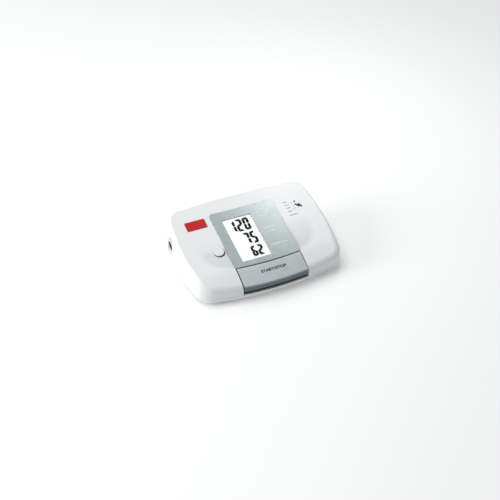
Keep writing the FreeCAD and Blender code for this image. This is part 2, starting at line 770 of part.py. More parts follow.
def lcd_glass():
    x0, x1, y0, y1 = glass
    low = glass_top - glass_thick
    half = glass_top - glass_thick / 2
    front = box(x0, x1, y0, y1, half, glass_top)
    back = box(x0 + 3.0, x1, y0, y1, low, half)
    return tilted(joined([back, front]))


def lcd_reflector():
    x0, x1, y0, y1 = glass
    low = glass_top - glass_thick
    return tilted(box(x0 + 4.0, x1 - 1.0, y0 + 1.0, y1 - 1.0, low - 0.25, low))


def lcd_frame():
    x0, x1, y0, y1 = glass
    high = panel_proud - panel_thick - 0.05
    block = box(x0 - frame_rim, x1 + frame_rim, y0 - 1.0, y1 + frame_rim, board_top, high)
    low = glass_top - glass_thick
    cuts = [box(x0 - 0.1, x1 + 0.1, y0 - 0.1, y1 + 0.1, low, 1)]
    cuts.append(box(x0 + 3.8, x1 - 0.8, y0 + 0.8, y1 - 0.8, low - 0.35, low + 1))
    cuts.append(box(x0 + 0.4, x0 + 2.8, y0 + 2.0, y1 - 2.0, board_top - 1, low + 1))
    cuts.append(box(x0 + 7.0, x1 - 4.0, y0 + 5.0, y1 - 5.0, board_top - 1, low))
    for x, v in frame_screws:
        cuts.append(rod(V(x, v, board_top - 1), Z, board_screw_r + 0.03, 4.0))
    return tilted(block.cut(cuts))


def zebra_strip():
    x0, x1, y0, y1 = glass
    high = glass_top - glass_thick / 2
    return tilted(box(x0 + 0.5, x0 + 2.7, y0 + 2.1, y1 - 2.1, board_top, high))


def badge_plate():
    x0, x1, y0, y1 = badge
    plate = rounded_plate(x0, x1, y0, y1, badge_proud - badge_thick, badge_proud, 0.7)
    rim = [e for e in plate.Edges if e.BoundBox.ZMin > badge_proud - 1e-6]
    return tilted(plate.makeFillet(0.2, rim))


# ---- keys -------------------------------------------------------------------------------
def start_key():
    outer = case_block(0.0).common(under_top(-panel_proud, key_bottom))
    outer = outer.common(bar_zone(key_gap, key_bottom, far)).Solids[0]
    lip = []
    for edge in outer.Edges:
        middle = edge.valueAt((edge.FirstParameter + edge.LastParameter) / 2)
        on_front = abs(middle.x) < 1 and middle.y < -front_reach + 2 and middle.z > key_bottom + 2
        if on_front:
            lip.append(edge)
    outer = outer.makeFillet(key_lip, lip)
    inner = case_block(key_wall).common(under_top(key_wall, 0.0))
    inner = inner.common(bar_zone(key_gap + key_wall, 0.0, far))
    skirt = box(-far, far, key_line - 8.0, far, 0.0, rear_skirt_z())
    shell = outer.cut([inner, skirt])
    roof = under_top(key_wall / 2, 0.0)
    adds = [key_skirt().common(roof)]
    for side in (-1, 1):
        post = rod(V(side * key_post_x, key_post_y, post_bottom()), Z, key_post_r, far)
        adds.append(post.common(roof))
        x = side * panel_half * 0.45
        low = rear_skirt_z()
        lug = box(x - 3, x + 3, key_line - key_gap - 1.5, key_line + 2.0, low, low + 0.9)
        adds.append(lug)
    free = key_travel - key_switch_travel
    finger = rod(V(0, key_post_y, switch_top + free), Z, 2.0, far)
    adds.append(finger.common(roof))
    return shell.fuse(adds).removeSplitter()


def key_skirt():
    """Rib that closes the view through the slot between the bar and the bottom cover."""
    behind = key_skirt_in + key_skirt_wall
    zone = bar_zone(key_gap + 0.3, part_line - key_skirt_below, far)
    rib = case_block(key_skirt_in).cut(case_block(behind)).common(zone)
    foot = case_block(key_wall - 0.2).cut(case_block(behind)).common(zone)
    return rib.fuse(foot.common(box(-far, far, -far, far, key_bottom + 0.6, key_bottom + 1.8)))


def rear_skirt_z():
    return top_z(key_line) - 4.35


def post_bottom():
    return inner_floor + 5.7


def key_springs():
    springs = []
    for side in (-1, 1):
        start = V(side * key_post_x, key_post_y, inner_floor + 0.2 + 0.25)
        length = post_bottom() - inner_floor - 0.2 - 0.5
        springs.append(coil(start, Z, 1.5, 1.5, length / 4.5, 4.5, 0.22))
    return springs


def key_board():
    return box(-key_board_half, key_board_half, key_post_y - 4.5, key_post_y + 5.0,
               key_board_z, key_board_z + key_board_thick)


def start_switch():
    y = key_post_y
    z = key_board_z + key_board_thick
    body = box(-switch_half, switch_half, y - switch_half, y + switch_half, z, switch_top - 0.9)
    return body.cut(rod(V(0, y, z + 1.8), Z, switch_plunger_r + slide_fit, switch_height))


def start_switch_plunger():
    z = key_board_z + key_board_thick + 1.8 + key_switch_travel + 0.2
    return rod(V(0, key_post_y, z), Z, switch_plunger_r, switch_top - z)


def memory_key():
    x, v = memory_at
    under = wall + 0.15
    cap = rod(V(x, v, -under), Z, memory_r, under + memory_proud)
    rim = [e for e in cap.Edges if e.BoundBox.ZMin > memory_proud - 1e-6]
    cap = cap.makeFillet(0.5, rim)
    low = memory_flange_bottom
    flange = rod(V(x, v, low), Z, memory_flange_r, -under - low)
    return tilted(joined([cap, flange]))


def memory_switch():
    x, v = memory_at
    half = switch_half
    body = box(x - half, x + half, v - half, v + half, board_top, board_top + 2.0)
    return tilted(body.cut(rod(V(x, v, board_top + 0.8), Z, switch_plunger_r + slide_fit, 5)))


def memory_switch_plunger():
    x, v = memory_at
    top = memory_flange_bottom - (memory_travel - memory_switch_travel)
    low = board_top + 0.8 + memory_switch_travel + 0.2
    return tilted(rod(V(x, v, low), Z, switch_plunger_r, top - low))


# ---- boards and electronics -------------------------------------------------------------
def main_board():
    x0, x1, y0, y1 = board
    low = board_top - board_thick
    plate = rounded_plate(x0, x1, y0, y1, low, board_top, 1.5)
    holes = [rod(V(x, v, low - 1), Z, board_screw_r + 0.1, 4) for x, v in board_posts + frame_screws]
    return tilted(plate.cut(holes))


def board_screws():
    seat = board_top - board_thick
    return [tilted(screw(V(x, v, seat), Z, board_screw_r, 4.0, 1.7, 1.2))
            for x, v in board_posts + frame_screws]


def chip(x, v, width, depth, height, legs):
    body = box(x - width / 2, x + width / 2, v - depth / 2, v + depth / 2,
               board_top + 0.1, board_top + height)
    parts = [body]
    pitch = depth / (legs + 1)
    for side in (-1, 1):
        for i in range(legs):
            y = v - depth / 2 + pitch * (i + 1)
            x0 = x + side * width / 2 - (0.9 if side < 0 else 0.1)
            parts.append(box(x0, x0 + 1.0, y - 0.2, y + 0.2, board_top, board_top + 0.35))
    return tilted(joined(parts))


def crystal():
    left = board[0] + 5.0
    return tilted(rounded_plate(left, left + 4.0, 10.0, 20.0, board_top, board_top + 2.5, 1.9))


def capacitors():
    """Two round capacitors that hang under the main board."""
    low = board_top - board_thick
    places = ((board[0] + 10.0, board[3] - 11.0), (board[0] + 20.0, board[3] - 8.0))
    return [tilted(rod(V(x, v, low), -Z, 4.0, 7.5)) for x, v in places]


def small_parts():
    """Resistors and small capacitors on the main board."""
    blocks = []
    for row in range(3):
        for place in range(4):
            x = board[0] + 6.0 + 3.6 * place
            v = -20.0 + 3.2 * row
            blocks.append(tilted(box(x - 1.0, x + 1.0, v - 0.6, v + 0.6, board_top, board_top + 0.7)))
    return blocks


def buzzer():
    x, v = board[0] + 32.0, board[3] - 10.0
    low = board_top - board_thick
    body = rod(V(x, v, low), -Z, 6.0, 6.0)
    return tilted(body.cut(rod(V(x, v, low - 5.0), -Z, 1.2, 3.0)))


def header_block():
    low = board_top - board_thick
    right = board[1] - 0.3
    return tilted(box(right - 5.3, right, pump_y - 8.0, pump_y + 5.0, low - header_height, low))


def header_z(y):
    return board_under_z(y) - header_height / slope_cos


def board_under_z(y):
    """Height of the main board's underside at y."""
    return top_z(y) + (board_top - board_thick) / slope_cos


def pressure_sensor():
    back = manifold[2] - 10.5
    low = sensor_z - 2.8
    body = box(sensor_x - 4.0, sensor_x + 4.0, back - 8.0, back, low, low + far)
    keep_under = tilted(box(-far, far, -far, far, -far, board_top - board_thick))
    port = rod(V(sensor_x, back - 0.1, sensor_z), Y, nozzle_r, 4.0)
    port = port.cut(rod(V(sensor_x, back - 0.5, sensor_z), Y, nozzle_bore, 5.0))
    return joined([body.common(keep_under), port])


# ---- air system -------------------------------------------------------------------------
def pump_motor():
    start = V(motor_start, pump_y, pump_z)
    can = rod(start, X, motor_r, motor_length)
    rims = [e for e in can.Edges if isinstance(e.Curve, Part.Circle)]
    can = can.makeFillet(0.8, rims)
    boss = rod(V(motor_start - 1.2, pump_y, pump_z), X, 3.5, 1.4)
    body = joined([can, boss])
    return body.cut(rod(V(motor_start + 12, pump_y, pump_z), X, shaft_r + 0.05, 40))


def motor_terminals():
    tabs = []
    for side in (-1, 1):
        y = pump_y + side * 7.0
        tabs.append(box(motor_start - terminal_length, motor_start, y - 1.2, y + 1.2,
                        pump_z - 0.2, pump_z + 0.2))
    return tabs


def pump_head():
    x0 = head_start
    block = box(x0, cap_start, pump_y - head_half, pump_y + head_half, pump_z - head_half, pump_z + head_half)
    along = [e for e in block.Edges if abs(e.tangentAt(e.FirstParameter).x) > 0.99]
    block = block.makeFillet(4.0, along)
    cuts = [rod(V(x0 - 1, pump_y, pump_z), X, 3.0, 5)]
    cuts.append(rod(V(x0 + 1.8, pump_y, pump_z), X, chamber_r, head_length))
    for y, z in head_corners:
        cuts.append(rod(V(x0 - 1, y, z), X, 1.1, head_length + 2))
    return block.cut(cuts)


def pump_diaphragm():
    """Rubber disc with three air cups."""
    x1 = cap_start
    disc = rod(V(x1 - 1.5, pump_y, pump_z), X, chamber_r - fit_gap, 1.5)
    cups = []
    for i in range(3):
        angle = math.radians(90 + 120 * i)
        centre = V(x1 - 5.0, pump_y + 5.0 * math.cos(angle), pump_z + 5.0 * math.sin(angle))
        cups.append(rod(centre, X, 2.6, 3.6))
    return joined([disc] + cups)


def pump_cap():
    x1 = cap_start
    block = box(x1, x1 + cap_length, pump_y - head_half, pump_y + head_half,
                pump_z - head_half, pump_z + head_half)
    along = [e for e in block.Edges if abs(e.tangentAt(e.FirstParameter).x) > 0.99]
    block = block.makeFillet(4.0, along)
    outlet = rod(V(outlet_x, pump_y + head_half - 1, back_hose_z), Y, nozzle_r, 3.0)
    cap = joined([block, outlet])
    cuts = [rod(V(outlet_x, pump_y + 3, back_hose_z), Y, nozzle_bore, 30)]
    for y, z in head_corners:
        cuts.append(rod(V(x1 - 1, y, z), X, 1.1, cap_length + 2))
    return cap.cut(cuts)


def pump_screws():
    seat = cap_start + cap_length
    return [screw(V(seat, y, z), -X, 1.0, head_length + cap_length - 1.0, 1.9, 1.2)
            for y, z in head_corners]


def pump_rotor():
    """Motor shaft with its crank, turning inside the motor and the pump head."""
    shaft = rod(V(motor_start + 14, pump_y, pump_z), X, shaft_r, motor_length - 14 + 5.5)
    x = head_start + 4.0
    disc = rod(V(x, pump_y, pump_z), X, 6.0, 3.0)
    pin = rod(V(x + 2.5, pump_y + crank_offset, pump_z), X, 1.2, 3.5)
    return joined([shaft, disc, pin])


def pump_sleeves():
    return [tube(V(x - 2, pump_y, pump_z), X, motor_r + sleeve_thick, motor_r, 4.0)
            for x in sleeve_places]


def valve_yoke():
    x1 = valve_x + valve_length
    low = valve_z - valve_half
    frame = box(valve_x, x1, valve_y - valve_half, valve_y + valve_half, low, valve_z + valve_half)
    frame = frame.cut(box(valve_x + yoke_thick, x1 - yoke_thick, valve_y - 7, valve_y + 7,
                          low + yoke_thick, valve_z + 7))
    return frame.cut(rod(V(valve_x - 1, valve_y, valve_z), X, plunger_r + 0.25, valve_length + 2))


def valve_coil():
    start = V(valve_x + yoke_thick + fit_gap, valve_y, valve_z)
    length = valve_length - 2 * (yoke_thick + fit_gap)
    parts = [rod(start, X, valve_half - 1.0, length)]
    for x in (0.0, length - 1.0):
        parts.append(rod(start + X * x, X, valve_half - 0.4, 1.0))
    body = joined(parts).cut(rod(start - X, X, plunger_r + slide_fit, length + 2))
    return body.common(box(-far, far, -far, far, valve_z - valve_half + yoke_thick + 0.05, far))


def valve_plunger():
    reach = seat_depth - plunger_travel - 0.4
    shaft = rod(V(valve_x - reach, valve_y, valve_z), X, plunger_r, valve_length + reach + 4.0)
    cap = rod(V(valve_x + valve_length + 3.4, valve_y, valve_z), X, plunger_r + 1.2, 1.0)
    return joined([shaft, cap])


def valve_spring():
    start = V(valve_x + valve_length + 0.3, valve_y, valve_z)
    return coil(start, X, plunger_r + 0.6, plunger_r + 0.6, 2.8 / 3, 3, 0.25)


def valve_nozzle():
    x1 = valve_x
    block = box(x1 - 7.0, x1, valve_y - valve_half, valve_y + valve_half,
                valve_z - valve_half + 1.0, valve_z + valve_half - 1.0)
    block = block.cut(rod(V(x1 - seat_depth, valve_y, valve_z), X, plunger_r + 0.4, 3))
    nipple = rod(V(x1 - 11.0, valve_y, valve_z), X, nozzle_r, 4.5)
    return joined([block, nipple]).cut(rod(V(x1 - 12, valve_y, valve_z), X, nozzle_bore, 11))


def air_manifold():
    x0, x1, y0, y1, z0, z1 = manifold
    parts = [box(x0, x1, y0, y1, z0, z1)]
    parts.append(rod(V(x1 - 1, back_hose_y, back_hose_z), X, nozzle_r, 5.0))
    parts.append(rod(V(x0 + 1, back_hose_y, back_hose_z), -X, nozzle_r, 5.0))
    parts.append(rod(V(valve_hose_x, y0 + 1, valve_hose_z), -Y, nozzle_r, 4.5))
    parts.append(rod(V(sensor_x, y0 + 1, sensor_z), -Y, nozzle_r, 4.5))
    parts.append(box(x0, bay_right - 1.0, bay_back + bay_wall, y0 + 1, z0, bay_ceiling + bay_roof))
    block = joined(parts)
    cuts = [rod(V(x0 - 6, back_hose_y, back_hose_z), X, nozzle_bore, x1 - x0 + 12)]
    cuts.append(rod(V(valve_hose_x, y0 - 5, valve_hose_z), Y, nozzle_bore, back_hose_y - y0 + 5))
    cuts.append(rod(V(sensor_x, y0 - 5, sensor_z), Y, nozzle_bore, back_hose_y - y0 + 5))
    return block.cut(cuts)


def pump_hose():
    return hose([V(outlet_x, pump_y + head_half + 0.2, back_hose_z),
                 V(outlet_x, back_hose_y, back_hose_z), V(manifold[1] + 0.2, back_hose_y, back_hose_z)],
                5.0)


def socket_hose():
    return hose([V(socket_elbow_x, socket_y + socket_body_r + 0.2, socket_z),
                 V(socket_elbow_x, back_hose_y, socket_z),
                 V(socket_elbow_x + 26.5, back_hose_y, socket_z),
                 V(manifold[0] - 8.0, back_hose_y, back_hose_z),
                 V(manifold[0] - 0.2, back_hose_y, back_hose_z)], socket_bend)


def valve_hose():
    return hose([V(valve_hose_x, manifold[2] - 0.2, valve_hose_z),
                 V(valve_hose_x, valve_y + 16.0, valve_hose_z),
                 V(valve_hose_x, valve_y, valve_z), V(valve_x - 7.2, valve_y, valve_z)], 6.0)


def sensor_hose():
    back = manifold[2] - 0.2
    return tube(V(sensor_x, back, sensor_z), -Y, hose_r, hose_bore, 10.0)


def air_socket():
    inner_end = socket_face + socket_length
    body = rod(V(inner_end, socket_y, socket_z), -X, socket_body_r, inner_end - socket_face)
    flange_x = socket_face + wall + 0.3
    flange = rod(V(flange_x, socket_y, socket_z), X, socket_body_r + 2.0, 1.5)
    elbow = rod(V(socket_elbow_x, socket_y, socket_z), Y, nozzle_r, elbow_reach)
    part = joined([body, flange, elbow])
    part = part.cut(rod(V(socket_face - 1, socket_y, socket_z), X, socket_bore_r, socket_depth + 1))
    pocket = socket_depth + socket_seal_thick
    part = part.cut(rod(V(socket_face, socket_y, socket_z), X, socket_seal_r, pocket))
    part = part.cut(rod(V(socket_face, socket_y, socket_z), X, socket_air_r, socket_length - 1.4))
    return part.cut(rod(V(socket_elbow_x, socket_y, socket_z), Y, nozzle_bore, 20))


def socket_ring():
    return tube(V(socket_face, socket_y, socket_z), -X, socket_recess_r - 0.2, socket_bore_r + 0.4,
                socket_ring_thick)


def socket_seal():
    start = V(socket_face + socket_depth, socket_y, socket_z)
    return tube(start, X, socket_seal_r - 0.02, socket_air_r, socket_seal_thick)


def dc_jack():
    inner_end = jack_face - jack_length
    barrel = rod(V(inner_end, jack_y, jack_z), X, jack_body_r, jack_length)
    block = box(inner_end - 1.0, jack_face - 3.7, jack_y - 4.5, jack_y + 4.5, jack_z - 5.5, jack_z + 4.5)
    body = joined([barrel, block])
    return body.cut(rod(V(jack_face - jack_depth, jack_y, jack_z), X, jack_bore_r, 20))


def dc_jack_pin():
    return rod(V(jack_face - jack_depth, jack_y, jack_z), X, jack_pin_r, jack_depth - jack_pin_back)


# ---- wires ------------------------------------------------------------------------------
def wire(points, bend=2.0):
    return swept(points, bend, wire_r)


def motor_wires():
    wires = []
    for side in (-1, 1):
        y = pump_y + side * 4.0
        tab = pump_y + side * 7.0
        x = motor_start - terminal_length - wire_r
        wires.append(wire([V(x, tab, pump_z), V(x, tab, pump_z + 3), V(x, y, header_z(y) - 0.5)], 1.5))
    return wires


def valve_wires():
    wires = []
    for i in range(2):
        x = valve_x + 5.0 + 3.0 * i
        y = valve_y - 1.2 + 2.4 * i
        lane = board[1] - 4.9 + 1.3 * i
        end = pump_y - 6.0 + 0.4 * i
        wires.append(wire([V(x, y, valve_z + 5.2), V(x, y, valve_z + 8.0 - i), V(lane, y, valve_z + 8.0 - i),
                           V(lane, end, valve_z + 9.0 - i), V(lane, end, header_z(end) - 0.2)], 1.5))
    return wires


def jack_wires():
    wires = []
    for i in range(2):
        z = jack_z - 3.5 + 1.8 * i
        y = valve_y - 9.0 - 1.8 * i
        x = board[1] - 6.0 - 2.4 * i
        start = jack_y - 2 + 4 * i
        wires.append(wire([V(jack_face - jack_length - 1.1, start, z), V(jack_face - 23.2, start, z),
                           V(jack_face - 29.2, y, z), V(x, y, z), V(x, y, board_under_z(y) - 0.05)], 2.0))
    return wires


def battery_wires():
    wires = []
    for i in (0, 3):
        x = cell_places[i]
        y = bay_front - bay_wall - 0.8
        front = y - 4.0
        z = cell_z + tail_up + tail_thick + wire_r
        wires.append(wire([V(x, y, z), V(x, front, z), V(x, front, board_under_z(front) - 0.05)], 2.0))
    return wires


def key_wires():
    wires = []
    for i in range(2):
        x = -11.0 + 2.5 * i
        front = key_post_y + 4.0
        y = key_post_y + 13.5
        z = key_board_z + key_board_thick
        wires.append(wire([V(x, front, z), V(x, front, z + 4), V(x, y, z + 4),
                           V(x, y, board_under_z(y) - 0.05)], 1.5))
    return wires


# ---- build ------------------------------------------------------------------------------
def build():
    os.makedirs("parts", exist_ok=True)
    outer = case_outer()
    inner = case_inner()
    save("top_cover", *top_cover(outer, inner).Solids)
    save("bottom_cover", *bottom_cover(outer, inner).Solids)
    save("panel_bezel", panel_bezel())
    save("lcd_window", lcd_window())
    save("badge_plate", badge_plate())
    save("start_key", start_key())
    save("key_springs", *key_springs())
    save("memory_key", memory_key())
    save("battery_door", battery_door())
    save("rubber_feet", *rubber_feet())
    save("housing_screws", *housing_screws())
    save("battery_cells", *battery_cells())
    save("battery_springs", *battery_springs())
    save("battery_contacts", *battery_contacts())
    save("lcd_glass", lcd_glass())
    save("lcd_reflector", lcd_reflector())
    save("lcd_frame", lcd_frame())
    save("zebra_strip", zebra_strip())
    save("main_board", main_board())
    save("board_screws", *board_screws())
    save("key_board", key_board())
    save("start_switch", start_switch())
    save("start_switch_plunger", start_switch_plunger())
    save("memory_switch", memory_switch())
    save("memory_switch_plunger", memory_switch_plunger())
    save("microcontroller", chip(board[0] + 16.0, 14.0, 9.0, 9.0, 1.5, 8))
    save("memory_chip", chip(board[0] + 6.0, 4.0, 4.0, 5.0, 1.5, 4))
    save("motor_driver", chip(board[0] + 14.0, 2.0, 4.0, 5.0, 1.5, 4))
    save("crystal", crystal())
    save("small_parts", *small_parts())
    save("capacitors", *capacitors())
    save("buzzer", buzzer())
    save("wire_header", header_block())
    save("pressure_sensor", pressure_sensor())
    save("pump_motor", pump_motor())
    save("motor_terminals", *motor_terminals())
    save("pump_head", pump_head())
    save("pump_diaphragm", pump_diaphragm())
    save("pump_cap", pump_cap())
    save("pump_screws", *pump_screws())
    save("pump_rotor", pump_rotor())
    save("pump_sleeves", *pump_sleeves())
    save("valve_yoke", valve_yoke())
    save("valve_coil", valve_coil())
    save("valve_plunger", valve_plunger())
    save("valve_spring", valve_spring())
    save("valve_nozzle", valve_nozzle())
    save("air_manifold", air_manifold())
    save("pump_hose", pump_hose())
    save("socket_hose", socket_hose())
    save("valve_hose", valve_hose())
    save("sensor_hose", sensor_hose())
    save("air_socket", air_socket())
    save("socket_ring", socket_ring())
    save("socket_seal", socket_seal())
    save("dc_jack", dc_jack())
    save("dc_jack_pin", dc_jack_pin())
    save("wires", *(motor_wires() + valve_wires() + jack_wires() + battery_wires() + key_wires()))


build()
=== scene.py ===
import bpy
import math
from mathutils import Matrix, Vector


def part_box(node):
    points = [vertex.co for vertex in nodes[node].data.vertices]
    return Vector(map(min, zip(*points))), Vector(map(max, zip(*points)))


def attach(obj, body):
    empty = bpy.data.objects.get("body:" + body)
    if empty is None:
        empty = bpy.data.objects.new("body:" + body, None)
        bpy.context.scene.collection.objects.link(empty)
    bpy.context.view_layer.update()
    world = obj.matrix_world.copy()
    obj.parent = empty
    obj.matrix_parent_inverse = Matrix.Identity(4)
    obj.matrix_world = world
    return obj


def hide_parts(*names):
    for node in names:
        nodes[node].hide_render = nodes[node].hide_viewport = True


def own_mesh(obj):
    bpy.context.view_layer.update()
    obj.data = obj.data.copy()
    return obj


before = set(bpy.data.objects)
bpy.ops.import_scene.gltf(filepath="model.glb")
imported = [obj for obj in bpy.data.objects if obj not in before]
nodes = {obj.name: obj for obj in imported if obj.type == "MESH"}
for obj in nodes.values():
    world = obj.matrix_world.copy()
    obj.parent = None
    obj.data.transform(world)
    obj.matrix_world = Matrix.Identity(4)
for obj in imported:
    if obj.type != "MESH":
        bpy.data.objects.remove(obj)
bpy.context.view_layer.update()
print("frame loaded:", len(nodes), "nodes")

mm = 0.001
slope = math.radians(12)    # of the case's top, which is high at the back
slopeUp = (0, -math.sin(slope), math.cos(slope))    # square to the top
slopeBack = (0, math.cos(slope), math.sin(slope))    # along the top, to the back

# the camera comes first, so that everything after it can be looked at as it is made
cameraPlace = {"eye": (-0.3181, -0.7185, 0.6756), "turn": 23.54, "tip": 40.18, "lens": 75.6, "sensor": 36,
               "nearest": 0.01}
cameraData = bpy.data.cameras.new("camera")
cameraData.lens = cameraPlace["lens"]
cameraData.sensor_width = cameraPlace["sensor"]
cameraData.clip_start = cameraPlace["nearest"]
camera = bpy.data.objects.new("camera", cameraData)
camera.location = cameraPlace["eye"]
camera.rotation_euler = (math.radians(90 - cameraPlace["tip"]), 0, -math.radians(cameraPlace["turn"]))
bpy.context.scene.collection.objects.link(camera)
bpy.context.scene.camera = camera
print("camera placed")

# how materials are put together; all their sizes are in metres
patchSize = 0.02    # from one shade of colour to the next
smearSize = 0.006    # from one shade of gloss to the next
fleckEdge = (0.45, 0.65)    # between these shares of its cloud a fleck fades in


def addNode(tree, kind, values=None, **settings):
    node = tree.nodes.new(kind)
    for key, value in settings.items():
        setattr(node, key, value)
    for key, value in (values or {}).items():
        node.inputs[key].default_value = value
    return node


def emptyMaterial(name):
    material = bpy.data.materials.new(name)
    material.use_nodes = True
    tree = material.node_tree
    tree.nodes.clear()
    where = addNode(tree, "ShaderNodeTexCoord").outputs["Object"]
    output = addNode(tree, "ShaderNodeOutputMaterial")
    return material, tree, where, output.inputs["Surface"]


def startMaterial(name, finish):
    material, tree, where, surface = emptyMaterial(name)
    shader = addNode(tree, "ShaderNodeBsdfPrincipled", finish)
    tree.links.new(shader.outputs["BSDF"], surface)
    return material, tree, shader, where


def cloud(tree, where, size, stretch=(1, 1, 1), detail=3.0):    # size: from one spot to the next
    mapping = addNode(tree, "ShaderNodeMapping", {"Scale": stretch})
    noise = addNode(tree, "ShaderNodeTexNoise", {"Scale": 1 / size, "Detail": detail})
    tree.links.new(where, mapping.inputs["Vector"])
    tree.links.new(mapping.outputs["Vector"], noise.inputs["Vector"])
    return noise.outputs["Fac"]


def bands(tree, where, pitch, direction="X", waver=0.0):    # pitch: from ridge to ridge
    wave = addNode(tree, "ShaderNodeTexWave", {"Scale": math.tau / 20 / pitch, "Distortion": waver},
                   wave_type="BANDS", bands_direction=direction)
    tree.links.new(where, wave.inputs["Vector"])
    return wave.outputs["Fac"]


def spread(tree, value, low, high, start=0.3, end=0.7):    # low up to start, high from end on
    ramp = addNode(tree, "ShaderNodeMapRange", {"From Min": start, "From Max": end, "To Min": low, "To Max": high})
    tree.links.new(value, ramp.inputs["Value"])
    return ramp.outputs["Result"]


def rising(tree, value, start=0.3, end=0.7):
    return spread(tree, value, 0.0, 1.0, start, end)


def falling(tree, value, start, end):
    return spread(tree, value, 1.0, 0.0, start, end)


def calculate(tree, operation, first, second=0.0):
    node = addNode(tree, "ShaderNodeMath", operation=operation)
    for socket, value in zip(node.inputs, (first, second)):
        if isinstance(value, (int, float)):
            socket.default_value = value
        else:
            tree.links.new(value, socket)
    return node.outputs["Value"]


def tint(tree, share, first, second):    # a colour between two, either of them a colour or a socket
    node = addNode(tree, "ShaderNodeMix", data_type="RGBA")
    tree.links.new(share, node.inputs[0])
    for socket, value in ((node.inputs[6], first), (node.inputs[7], second)):
        if isinstance(value, tuple):
            socket.default_value = (*value, 1)
        else:
            tree.links.new(value, socket)
    return node.outputs[2]


def darker(color, share):
    return tuple(c * share for c in color)


def patched(tree, where, color, shade, size=patchSize):    # two shades of a colour, in soft patches
    return tint(tree, rising(tree, cloud(tree, where, size)), color, shade)


def flecked(tree, where, paint, look):    # small flecks of a second colour
    flecks = rising(tree, cloud(tree, where, look["fleck"], detail=1.0), *fleckEdge)
    return tint(tree, flecks, paint, look["fleckColor"])


def smeared(tree, where, shader, roughness, size=smearSize):    # uneven gloss
    tree.links.new(spread(tree, cloud(tree, where, size), *roughness), shader.inputs["Roughness"])


def relief(tree, shader, height, strength, depth=0.00005):
    bump = addNode(tree, "ShaderNodeBump", {"Strength": strength, "Distance": depth})
    tree.links.new(height, bump.inputs["Height"])
    tree.links.new(bump.outputs["Normal"], shader.inputs["Normal"])


def heightAlong(tree, where, direction, origin=(0, 0, 0)):    # how far a point lies along a direction
    start = addNode(tree, "ShaderNodeVectorMath", {1: origin}, operation="SUBTRACT")
    along = addNode(tree, "ShaderNodeVectorMath", {1: direction}, operation="DOT_PRODUCT")
    tree.links.new(where, start.inputs[0])
    tree.links.new(start.outputs["Vector"], along.inputs[0])
    return along.outputs["Value"]


def facing(tree, direction, low, high):    # 0 on faces that turn away from a direction, 1 on those that look along it
    normal = addNode(tree, "ShaderNodeNewGeometry").outputs["True Normal"]
    along = addNode(tree, "ShaderNodeVectorMath", {1: direction}, operation="DOT_PRODUCT")
    tree.links.new(normal, along.inputs[0])
    return rising(tree, along.outputs["Value"], low, high)


def moulded(name, look):    # a plastic, rubber or paint: faint clouds of colour, uneven gloss, a fine grain
    material, tree, shader, where = startMaterial(name, look.get("finish", {}))
    paint = patched(tree, where, look["color"], darker(look["color"], look["shade"]), look.get("patch", patchSize))
    if "fleck" in look:
        paint = flecked(tree, where, paint, look)
    # a look's deep mask tints it towards a greyer colour there: painted shade in sunk fields
    if "deep" in look:
        paint = tint(tree, look["deep"](tree, where), paint, look["deepColor"])
    tree.links.new(paint, shader.inputs["Base Color"])
    smeared(tree, where, shader, look["roughness"])
    relief(tree, shader, cloud(tree, where, look["grain"]), look["relief"])
    return material


